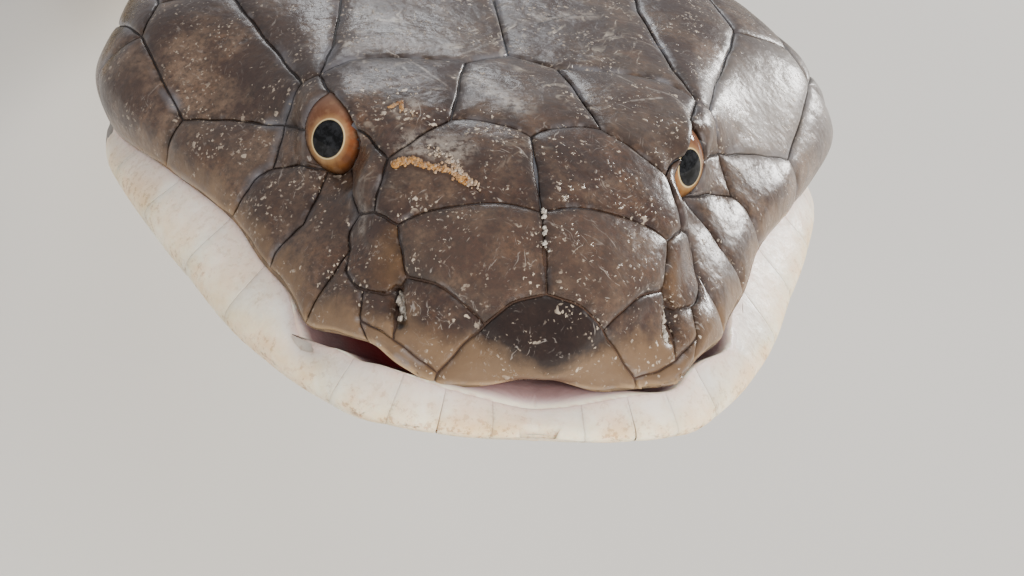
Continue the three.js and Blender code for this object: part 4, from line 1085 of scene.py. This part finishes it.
horn.link(colour, "Base Color")
horn.link(horn.maths("ADD", horn.ramp(broad, 0.3, 0.7, 0.16, 0.32), horn.times(grain, 0.16)), "Roughness")
height = horn.times(grain, 0.17)
for part, share in ((cloud, 0.45), (broad, 4.0), (dust, 0.4), (pits, -1.5)):
    height = horn.maths("ADD", height, horn.times(part, share))
horn.link(horn.bump(height, 0.9, 0.16), "Normal")
horn.shader.inputs["Specular IOR Level"].default_value = 0.6
solid_object("head_shields", shield_pieces, horn.material)

# Crusts on the shields: lumps of ochre scab along the scar, and of pale dry slime on the snout's middle
# seam and in the nostrils, all stuck to the horn.
LUMP_ROWS, LUMP_TURNS = 7, 10
LUMP_POINTS = LUMP_ROWS * LUMP_TURNS + 2
crust_pieces = []


def crust_lumps(path, number, spread, low, high, pale_share, rise=0.5, flat=0.6):
    """Lumps strewn along a path: how many, how far off it, their least and greatest size, how pale."""
    path = np.array(path, float)
    lengths = np.concatenate([[0], np.cumsum(np.linalg.norm(np.diff(path, axis=0), axis=1))])
    at = rng.uniform(0, lengths[-1], number)
    middles = np.stack([np.interp(at, lengths, path[:, axis]) for axis in range(3)], 1)
    middles += rng.normal(0, spread, (number, 3))
    across, along = upper_skin.nearest(uneven(middles, UPPER_SHIFTS))
    facing = head_normal(UPPER, across, along, 1)
    seats = head_openings(upper_skin.lift(across, along, 0 * across)) + facing * rise
    turns, tilts = np.meshgrid(np.linspace(0, 2 * math.pi, LUMP_TURNS, endpoint=False),
                               np.linspace(0.02, math.pi - 0.02, LUMP_ROWS))
    ball = np.stack([np.sin(tilts) * np.cos(turns), np.sin(tilts) * np.sin(turns), np.cos(tilts)], -1)
    for seat, normal, place in zip(seats, facing, np.stack([across, along], 1)):
        side = np.cross(normal, (0.3, 0.9, 0.1))
        side /= np.linalg.norm(side)
        size = rng.uniform(low, high) * rng.uniform(0.6, 1.4, ball.shape[:2] + (1,))
        points = seat + size * (ball[..., :1] * side + ball[..., 1:2] * np.cross(normal, side) * 1.3
                                + ball[..., 2:] * normal * flat)
        points = np.concatenate([points.reshape(-1, 3), points[0].mean(0)[None], points[-1].mean(0)[None]])
        first = np.arange(LUMP_TURNS)
        last = first + (LUMP_ROWS - 1) * LUMP_TURNS
        lump_faces = [closed_faces(LUMP_ROWS, LUMP_TURNS), fan_faces(first, LUMP_POINTS - 2, turned=True),
                      fan_faces(last, LUMP_POINTS - 1)]
        crust_pieces.append((points, np.concatenate(lump_faces), {
            "pale": pale_share + rng.uniform(-0.15, 0.15),
            "map": np.array([place[0] * 0.5 + 0.5, place[1]]) + 0.0005 * rng.random((LUMP_POINTS, 2))}))


crust_lumps(SCAR_PATH, 60, 0.07, 0.2, 0.36, 0.08, 0.4)
crust_lumps(SCAR_PATH, 150, 0.2, 0.05, 0.15, 0.3)
crust_lumps([(-9.7, 18.6, 13.0), (-8.0, 17.4, 12.9), (-6.7, 15.3, 12.5)], 60, 0.22, 0.05, 0.16, 0.7)
crust_lumps([(-8.2, 16.9, 12.8), (-7.0, 15.9, 12.6), (-6.0, 14.0, 12.2)], 60, 0.2, 0.05, 0.17, 0.5)
for start, end in zip(SCAR_END, SCAR_END[1:]):
    crust_lumps([start, end], 34, 0.06, 0.06, 0.17, 0.15)
crust_lumps([(-10.2, 23.3, 14.0), (-11.9, 23.9, 14.2)], 24, 0.22, 0.05, 0.12, 0.6)
crust_lumps([(-6.6, 14.6, 12.3), (-5.4, 13.6, 12.0)], 16, 0.3, 0.05, 0.14, 0.5)
crust_lumps([(0.1, 11.3, 11.5), (0.1, 7.4, 9.3)], 16, 0.1, 0.08, 0.2, 1.0, 0.15, 0.8)
for sign in (-1, 1):
    crust_lumps([(sign * 12.6, 7.4, 3.3), (sign * 12.1, 5.7, 1.8)], 44, 0.17, 0.14, 0.36, 0.9, 0.6)
crust = Nodes("crust")
colour = crust.mix(crust.ramp(crust.noise(0.5, 4, 0.7), 0.35, 0.65), (0.44, 0.27, 0.11), (0.74, 0.55, 0.30))
grey = crust.mix(crust.ramp(crust.noise(0.4, 4, 0.7), 0.35, 0.65), (0.50, 0.47, 0.43), (0.80, 0.78, 0.74))
crust.link(crust.mix(crust.attribute("pale"), colour, grey), "Base Color")
crust.shader.inputs["Roughness"].default_value = 0.5
crust.link(crust.bump(crust.noise(0.25, 3), 0.6, 0.06), "Normal")
solid_object("crusts", crust_pieces, crust.material)

# Shields of the lower jaw: thin white plates of horn in a row along each lip, one at the chin's tip and
# two pairs behind it, nearly flush and parted by faint grey seams. Corners are across and along the jaw.
LIP_LINE = 0.997
LOWER_LIP_SEAMS = [0.145, 0.215, 0.3, 0.42, 0.505, 0.585, 0.66, 0.73]
jaw_pieces, jaw_outlines = [], []


def jaw_outline(corners, sign):
    """Points along the straight ways between the corners, on the snake's left for 1, its right for -1."""
    places = [head_surface(LOWER, sign * across, along) for across, along in corners]
    ways = [places[(i + 1) % len(places)] - first for i, first in enumerate(places)]
    return np.concatenate([first + way * seam_steps(way) for first, way in zip(places, ways)])


def jaw_line(start, end):
    """Corners along a curved edge of a lip shield."""
    way = np.array(end) - start
    return [tuple(np.array(start) + way * t) for t in np.linspace(0, 1, 6, endpoint=False)]


MENTAL_EDGE = [(LIP_LINE, 0.07), (0.85, 0.07), (0.7, 0.073), (0.45, 0.085), (0.2, 0.105), (0, 0.115)]
jaw_shapes = [(1, [(-LIP_LINE, 0.03), (-LIP_LINE, 0.008), (LIP_LINE, 0.03)] + MENTAL_EDGE
               + [(-across, along) for across, along in MENTAL_EDGE[-2::-1]])]
for sign in (1, -1):
    jaw_shapes.append((sign, [(LIP_LINE, 0.11), (LIP_LINE, 0.145), (0.75, 0.148), (0.5, 0.155), (0.43, 0.157),
                              (0.43, 0.088)] + MENTAL_EDGE[2::-1]))
    for first, last in zip(LOWER_LIP_SEAMS, LOWER_LIP_SEAMS[1:]):
        edge = [(LIP_LINE, first), (LIP_LINE, last), (0.5, last + 0.01), (0.5, first + 0.01)]
        jaw_shapes.append((sign, [corner for i, start in enumerate(edge)
                                  for corner in jaw_line(start, edge[(i + 1) % 4])]))
    jaw_shapes.append((sign, [(0.0, 0.116), (0.2, 0.106), (0.43, 0.088), (0.43, 0.157), (0.5, 0.155),
                              (0.5, 0.3), (0.38, 0.37), (0.0, 0.37)]))
    jaw_shapes.append((sign, [(0.0, 0.37), (0.38, 0.37), (0.5, 0.3), (0.5, 0.43), (0.4, 0.55), (0.0, 0.53)]))
for sign, corners in jaw_shapes:
    outline = jaw_outline(corners, sign)
    points, piece_faces, depth, across, along = plate(lower_skin, outline, 0.11, 0.0, 5.0)
    jaw_pieces.append((points, piece_faces, {
        "depth": depth, "tone": rng.uniform(-1, 1), "lip": np.abs(across),
        "map": np.stack([across * 0.5 + 0.5, along], 1)}))
    jaw_outlines.append(np.stack(lower_skin.nearest(outline), 1))

lip_horn = Nodes("lip_horn")
lip_stain = lip_horn.ramp(lip_horn.noise(4.0, 5, 0.65), 0.42, 0.62)
lip_height = lip_horn.attribute("lip")
specked = lip_horn.times(lip_horn.ramp(lip_horn.noise(0.6, 4, 0.7), 0.53, 0.60),
                         lip_horn.ramp(lip_stain, 0, 0.5, 0.15, 1))
specked = lip_horn.times(specked, lip_horn.ramp(lip_height, 0.6, 0.92, 1, 0.25))
specked = lip_horn.times(specked, lip_horn.ramp(lip_height, 0.35, 0.6, 0.1, 1))
faint = lip_horn.times(lip_horn.ramp(lip_horn.noise(1.5, 3), 0.35, 0.65, 0.0, 0.14),
                       lip_horn.ramp(lip_horn.attribute("depth"), 0.0, 0.16, 1, 0))
# Cream with yellow stains and ochre specks, lilac grey toward the lip, pink at its edge
colour = lip_horn.mix(lip_horn.ramp(lip_horn.noise(5, 4, 0.6), 0.35, 0.65), (0.95, 0.86, 0.71),
                      (1.0, 0.95, 0.85))
colour = lip_horn.over(colour, [
    (lip_horn.times(lip_stain, 0.45), (0.86, 0.69, 0.44)),
    (lip_horn.ramp(lip_height, 0.80, 0.94, 0, 0.45), (0.84, 0.80, 0.83)),
    (lip_horn.ramp(lip_height, 0.95, 1.0, 0, 0.5), (0.85, 0.66, 0.64)),
    (lip_horn.times(specked, 0.8), (0.60, 0.40, 0.19)), (faint, (0.60, 0.51, 0.47))])
lip_horn.link(colour, "Base Color")
lip_horn.link(lip_horn.ramp(lip_horn.noise(2, 3), 0.3, 0.7, 0.30, 0.46), "Roughness")
lip_horn.link(lip_horn.bump(lip_horn.noise(1.3, 5, 0.6), 0.5, 0.22), "Normal")
lip_horn.shader.inputs["Subsurface Weight"].default_value = 0.3
lip_horn.shader.inputs["Subsurface Radius"].default_value = (1.0, 0.6, 0.45)
lip_horn.shader.inputs["Subsurface Scale"].default_value = 0.0014
solid_object("jaw_shields", jaw_pieces, lip_horn.material)

# Eyes: wet balls set under the brow shields, each with a clear cap over an orange-brown iris, a thin
# cream ring and a round black pupil.
PUPIL_RADIUS = 1.78
PUPIL_NARROW = 1.15
BALL_TURNS, BALL_ROWS = 96, 59
eye_glass = Nodes("eye_glass")
forward = eye_glass.attribute("forward")
rise = eye_glass.attribute("rise")
narrowed = eye_glass.times(forward, PUPIL_NARROW)
radius = eye_glass.maths("SQRT", eye_glass.maths("ADD", eye_glass.times(narrowed, narrowed),
                                                 eye_glass.times(rise, rise)))
around = eye_glass.times(eye_glass.maths("ARCTAN2", rise, forward), 5.0)
around = eye_glass.run("ShaderNodeCombineXYZ", {"X": around, "Y": eye_glass.times(radius, 0.6)})
streaks = eye_glass.run("ShaderNodeTexNoise", {"Vector": around, "Scale": 1.0, "Detail": 4.0})
# Iris: tan below, darker orange toward the snout, pinkish brown above, darkened at its rim as painted shade
# under the lids, then the ring
colour = eye_glass.mix(eye_glass.ramp(rise, -2.0, 1.2), (0.47, 0.34, 0.19), (0.43, 0.29, 0.215))
# The pupil mottled from black to dark grey, partly its own texture and partly a painted reflection
pupil_and_reflection = eye_glass.mix(eye_glass.ramp(eye_glass.noise(0.7, 4, 0.7), 0.42, 0.62), (0.02, 0.022, 0.025),
                      (0.12, 0.125, 0.135))
colour = eye_glass.over(colour, [
    (eye_glass.ramp(forward, 0.6, 2.6, 0, 0.85), (0.46, 0.24, 0.11)),
    (eye_glass.ramp(streaks, 0.42, 0.62, 0, 0.5), (0.34, 0.21, 0.13)),
    (eye_glass.ramp(eye_glass.noise(0.9, 3), 0.5, 0.7, 0, 0.45), (0.56, 0.44, 0.33)),
    (eye_glass.ramp(rise, 2.2, 3.8, 0, 0.6), (0.50, 0.40, 0.34)),
    (eye_glass.ramp(eye_glass.attribute("edge"), -0.5, 0.0, 0, 0.75), (0.15, 0.085, 0.06)),
    (eye_glass.ramp(radius, PUPIL_RADIUS + 0.05, PUPIL_RADIUS + 0.7, 0.5, 0), (0.66, 0.53, 0.36)),
    (eye_glass.ramp(radius, PUPIL_RADIUS + 0.08, PUPIL_RADIUS + 0.2, 0.8, 0), (0.80, 0.73, 0.56)),
    (eye_glass.ramp(radius, PUPIL_RADIUS - 0.03, PUPIL_RADIUS + 0.08, 1, 0), pupil_and_reflection)])
eye_glass.link(colour, "Base Color")
eye_glass.shader.inputs["Roughness"].default_value = 0.45
eye_glass.shader.inputs["Specular IOR Level"].default_value = 0.0
eye_glass.shader.inputs["Coat Weight"].default_value = 0.6
eye_glass.shader.inputs["Coat Roughness"].default_value = 0.05
eye_glass.shader.inputs["Coat IOR"].default_value = 1.4
turns, tilts = np.meshgrid(np.linspace(0, 2 * math.pi, BALL_TURNS, endpoint=False),
                           np.linspace(0, math.pi, BALL_ROWS + 2)[1:-1])
first, end = np.arange(BALL_TURNS), BALL_TURNS * BALL_ROWS
ball_faces = np.concatenate([closed_faces(BALL_ROWS, BALL_TURNS), fan_faces(first, end, turned=True),
                             fan_faces(end - BALL_TURNS + first, end + 1)])
# What is behind the opening is drawn in a little, to clear the plates round it
for side_name, sign, eye in (("left", 1, LEFT_EYE), ("right", -1, RIGHT_EYE)):
    ways = (np.sin(tilts) * np.cos(turns))[..., None] * eye.front + (
        np.sin(tilts) * np.sin(turns))[..., None] * eye.top + np.cos(tilts)[..., None] * eye.axis
    hidden = smooth_step((np.sin(tilts) * EYE_RADIUS - eye.reach(turns) - 0.1) / 0.5) + (tilts > math.pi / 2)
    ways = ways * (1 - 0.14 * np.minimum(hidden, 1))[..., None]
    ways = np.concatenate([ways.reshape(-1, 3), [eye.axis, -eye.axis]])
    out = np.where(tilts > math.pi / 2, EYE_RADIUS, np.sin(tilts) * EYE_RADIUS)
    ball = solid_object(f"eye_ball_{side_name}", [(
        (eye.centre + ways * EYE_RADIUS) * [sign, 1, 1], ball_faces[:, ::-sign], {
            "forward": np.concatenate([(out * np.cos(turns)).ravel(), [0, EYE_RADIUS]]),
            "rise": np.concatenate([(out * np.sin(turns)).ravel(), [0, 0]]),
            "edge": np.concatenate([(out - eye.reach(turns)).ravel(), [-3, 1]])})], eye_glass.material)
    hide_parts(f"eye_{side_name}")

# Scales of the body: smooth overlapping plates of horn in slanting rows over the back and flanks,
# wide belly shields from side to side, and paired ones under the tail, all rooted in the skin in front.
SCALE_ROWS = [(-52, 420, 19), (420, 2950, 15), (2950, 3260, 13), (3260, 3480, 11), (3480, 3660, 9),
              (3660, 3800, 7), (3800, 3904, 5)]
FLANK_END = 116
PITCH_AT = np.array([(-60, 6.5), (0, 8), (150, 10.5), (420, 12.5), (1000, 13.3), (3000, 13.3), (3200, 10),
                     (3500, 8), (3908, 4.5)])
THROAT_START, THROAT_END, THROAT_SPACING = -79, -4, 11
FULL_PITCH = 11
MOST_TRIANGLES = 190000


def across_head(degrees):
    """Whether places are on the upper head, and how far across it or the jaw, by degrees round it."""
    degrees = (np.asarray(degrees, float) + 180) % 360 - 180
    turned = np.abs(degrees)
    over = turned <= LIP_ANGLE
    across = np.where(over, np.interp(turned, UPPER_ANGLES, RAIL_SHARES),
                      np.interp(turned, LOWER_ANGLES[::-1], RAIL_SHARES[::-1]))
    return over, np.where(degrees < 0, -across, across)


def snake_surface(distance, degrees, lift):
    """Places on the whole snake, where distances below 0 are on the head."""
    distance, degrees, lift = np.broadcast_arrays(distance, degrees, lift)
    places = body_surface(np.maximum(distance, 0), degrees, lift)
    ahead = distance < 0
    if ahead.any():
        along = 1 + distance[ahead] / HEAD_LENGTH
        over, across = across_head(degrees[ahead])
        top, low = (head_surface(rails, across, along) + head_normal(rails, across, along, outward)
                    * lift[ahead][:, None] for rails, outward in ((UPPER, 1), (LOWER, -1)))
        places[ahead] = np.where(over[:, None], top, low)
    return places


def pitch_at(distance):
    return np.interp(distance, *PITCH_AT.T)


def row_starts(start, end):
    rows = [float(start)]
    while rows[-1] < end:
        rows.append(rows[-1] + float(pitch_at(rows[-1])))
    return np.array(rows[:-1])


def covered(distance, degrees):
    """Whether a place on the head lies on one of its shields."""
    along = 1 + distance / HEAD_LENGTH
    over, across = across_head(degrees)
    for outline in (shield_outlines if over else jaw_outlines):
        x, y = outline.T
        x2, y2 = np.roll(x, -1), np.roll(y, -1)
        crossing = ((y > along) != (y2 > along)) & (across < (x2 - x) * (along - y) / (y2 - y + 1e-12) + x)
        if crossing.sum() % 2:
            return True
    return False


def scale_object(name, places, edge, roots, tones):
    """Join scales into objects of less than 200,000 triangles."""
    rows, columns = places.shape[1:3]
    size = rows * columns
    single = grid_faces(rows, columns)
    most = MOST_TRIANGLES // (len(single) * 2)
    grid_q, grid_p = np.meshgrid(np.linspace(0, 1, rows), np.linspace(0, 1, columns), indexing="ij")
    for number, start in enumerate(range(0, len(places), most)):
        some = slice(start, start + most)
        total = len(places[some])
        all_faces = (single[None] + (np.arange(total) * size)[:, None, None]).reshape(-1, 4)
        root = np.repeat(roots[some], size, 0)
        edges = np.tile(edge.ravel(), total)
        shade = (1 + 0.16 * np.repeat(tones[some], size)) * (1 - 0.45 * edges)
        tuft = np.tile(np.stack([grid_p.ravel(), grid_q.ravel()], 1) * 0.003, (total, 1))
        spot = np.stack([root[:, 1] / 362 + 0.5, 0.02 + (root[:, 0] + 60) / 4050 * 0.96], 1)
        solid_object(f"{name}_{number + 1}", [(places[some].reshape(-1, 3), all_faces, {
            "coat": coat_colour(*root.T) * shade[:, None], "edge": edges, "map": spot + tuft})],
            scale_horn.material)


scale_horn = Nodes("scale_horn")
variation = scale_horn.ramp(scale_horn.noise(5, 5, 0.6), 0.3, 0.7, 0.8, 1.2)
wear = scale_horn.noise(0.7, 4, 0.65)
scale_horn.link(scale_horn.mix(scale_horn.ramp(wear, 0.55, 0.8, 0, 0.3),
                               scale_horn.scaled(scale_horn.attribute("coat", "Color"), variation),
                               (0.55, 0.52, 0.45)), "Base Color")
scale_horn.link(scale_horn.ramp(scale_horn.noise(3, 3), 0.3, 0.7, 0.3, 0.46), "Roughness")
scale_horn.link(scale_horn.bump(wear, 0.35, 0.08), "Normal")

# Each scale: distance, degrees, pitch and half its width in degrees
scales = []
for start, end, rows_across in SCALE_ROWS:
    spacing = 2 * FLANK_END / rows_across
    for at in row_starts(start, end):
        for row in range(rows_across):
            degrees = (row - (rows_across - 1) / 2) * spacing
            distance = at + (pitch_at(at) / 2 if row % 2 else 0)
            if distance <= BODY_LENGTH - 6 and not (distance < 4 and covered(distance + 1, degrees)):
                scales.append((distance, degrees, pitch_at(at), spacing))
for number, at in enumerate(row_starts(THROAT_START, THROAT_END)):
    for row in range(12):
        degrees = 118 + (row - (0.5 if number % 2 else 0)) * THROAT_SPACING
        degrees = degrees if degrees <= 180 else degrees - 360
        if not covered(at + 2, degrees) and abs(degrees) > 110:
            scales.append((at, degrees, pitch_at(at) * 1.15, THROAT_SPACING - 0.5))
scales = np.array(scales, float)
distance, degrees, pitch, half_width = scales.T[:, :, None, None]
# Outline of a scale from its rooted front to its free tip: place along, in pitches, half width and rise,
# and its section from side to side
SCALE_LENGTHS = np.array([-0.75, -0.5, -0.2, 0.0, 0.18, 0.34, 0.46, 0.54, 0.575])[:, None]
SCALE_WIDTHS = np.array([0.62, 0.80, 0.92, 0.93, 0.84, 0.64, 0.42, 0.20, 0.04])[:, None]
SCALE_RISES = np.array([-0.75, -0.45, -0.2, -0.05, 0.03, 0.07, 0.08, 0.05, -0.45])[:, None]
SCALE_ACROSS = np.array([-1, -0.9, -0.5, 0, 0.5, 0.9, 1])
SCALE_EDGES = np.array([-0.5, -0.08, 0.05, 0.1, 0.05, -0.08, -0.5])
lift = np.where((SCALE_EDGES < -0.4) | (SCALE_LENGTHS == SCALE_LENGTHS[-1]), -0.62, SCALE_RISES + SCALE_EDGES)
places = snake_surface(np.clip(distance + SCALE_LENGTHS * pitch, -95, BODY_LENGTH),
                       degrees + SCALE_ACROSS * SCALE_WIDTHS * half_width,
                       lift * np.minimum(1, pitch / FULL_PITCH))
places[..., 2] = np.maximum(places[..., 2], -HEAD_AT[2] + 0.03)
edge = np.maximum(np.abs(SCALE_ACROSS) ** 3, np.clip((SCALE_LENGTHS - 0.3) / 0.27, 0, 1))
scale_object("scales", places, edge, scales[:, :2], rng.uniform(-1, 1, len(places)))

# Belly shields: one wide shield to each row from the throat to the vent, then pairs under the tail
VENT = 3200
BELLY_ALONG = np.array([-0.35, -0.1, 0.3, 0.75, 0.98, 1.04])[:, None]
BELLY_RISE = np.array([-0.45, -0.3, -0.15, -0.03, 0.0, -0.4])[:, None]
BELLY_ACROSS = np.array([-1, -0.985, -0.9, -0.75, -0.6, -0.52, -0.3, 0, 0.3, 0.52, 0.6, 0.75, 0.9, 0.985, 1])


def belly_shields(name, starts, middle, reach):
    """One shield at each start, reaching so many degrees to both sides of its middle."""
    pitch = pitch_at(starts)[:, None, None]
    ends = 0.22 * np.maximum(0, np.abs(BELLY_ACROSS) - 0.6) ** 2 / 0.16
    along = starts[:, None, None] + (BELLY_ALONG - ends * (BELLY_ALONG > 0.2)) * pitch
    around = middle + BELLY_ACROSS * reach
    around = np.where(around > 180, around - 360, around)
    lift = (BELLY_RISE - 0.45 * (np.abs(BELLY_ACROSS) > 0.99)) * np.minimum(1, pitch / FULL_PITCH)
    places = snake_surface(np.clip(along, -20, BODY_LENGTH), around, lift)
    places[..., 2] = np.maximum(places[..., 2], -HEAD_AT[2])
    edge = np.maximum(np.abs(BELLY_ACROSS) ** 30, np.clip((BELLY_ALONG - 0.85) / 0.2, 0, 1))
    roots = np.stack([starts, np.full(len(starts), middle)], 1)
    scale_object(name, places, edge, roots, rng.uniform(-0.6, 0.6, len(places)))


belly_shields("belly_shields", row_starts(-7, VENT), 180, 66)
belly_shields("tail_shields_left", row_starts(VENT, 3896), 147.5, 33.5)
belly_shields("tail_shields_right", row_starts(VENT, 3896) + 2, -147.5, 33.5)

# Floor and light: a plain pale floor under plain soft studio light, with the strongest light in front of
# the face and the one that shines on the shields behind the snake's left, as daylight falls there.
FLOOR_HALF, FLOOR_LEVEL = 15, -0.0004
floor_material = Nodes("floor")
floor_tone = floor_material.ramp(floor_material.noise(300, 3), 0.3, 0.7)
floor_material.link(floor_material.mix(floor_tone, (0.86, 0.85, 0.83), (0.89, 0.88, 0.86)), "Base Color")
floor_material.shader.inputs["Roughness"].default_value = 0.7
floor_mesh = bpy.data.meshes.new("floor")
floor_mesh.from_pydata([(x * FLOOR_HALF, y * FLOOR_HALF, FLOOR_LEVEL)
                        for x, y in ((-1, -1), (1, -1), (1, 1), (-1, 1))], [], [(0, 1, 2, 3)])
floor_mesh.materials.append(floor_material.material)
floor = bpy.data.objects.new("floor", floor_mesh)
bpy.context.scene.collection.objects.link(floor)

# Each lamp: place from the face in metres, width of its disk, power, colour, and whether it glints
LIGHTS = [("key", (3.0, 2.4, 1.05), 0.75, 112, (1.0, 0.98, 0.95), True),
          ("rear", (0.25, 3.75, 2.4), 1.0, 22, (0.94, 0.97, 1.0), True),
          ("front", (1.9, -3.5, 1.55), 3.4, 375, (1.0, 0.95, 0.88), False),
          ("fill", (-3.5, -1.5, 1.25), 2.4, 56, (1.0, 0.97, 0.94), False)]
aim = Vector(world((0, 30, 5)))
for light_name, offset, size, power, colour, glints in LIGHTS:
    data = bpy.data.lights.new(light_name, "AREA")
    data.energy = power
    data.shape = "DISK"
    data.size = size
    data.color = colour
    lamp = bpy.data.objects.new(light_name, data)
    lamp.visible_glossy = glints
    bpy.context.scene.collection.objects.link(lamp)
    lamp.location = aim + Vector(offset)
    lamp.rotation_euler = (aim - lamp.location).to_track_quat("-Z", "Y").to_euler()
sky = bpy.data.worlds.new("sky")
bpy.context.scene.world = sky
sky.use_nodes = True
sky.node_tree.nodes["Background"].inputs["Color"].default_value = (0.97, 0.97, 1.0, 1.0)
sky.node_tree.nodes["Background"].inputs["Strength"].default_value = 0.55
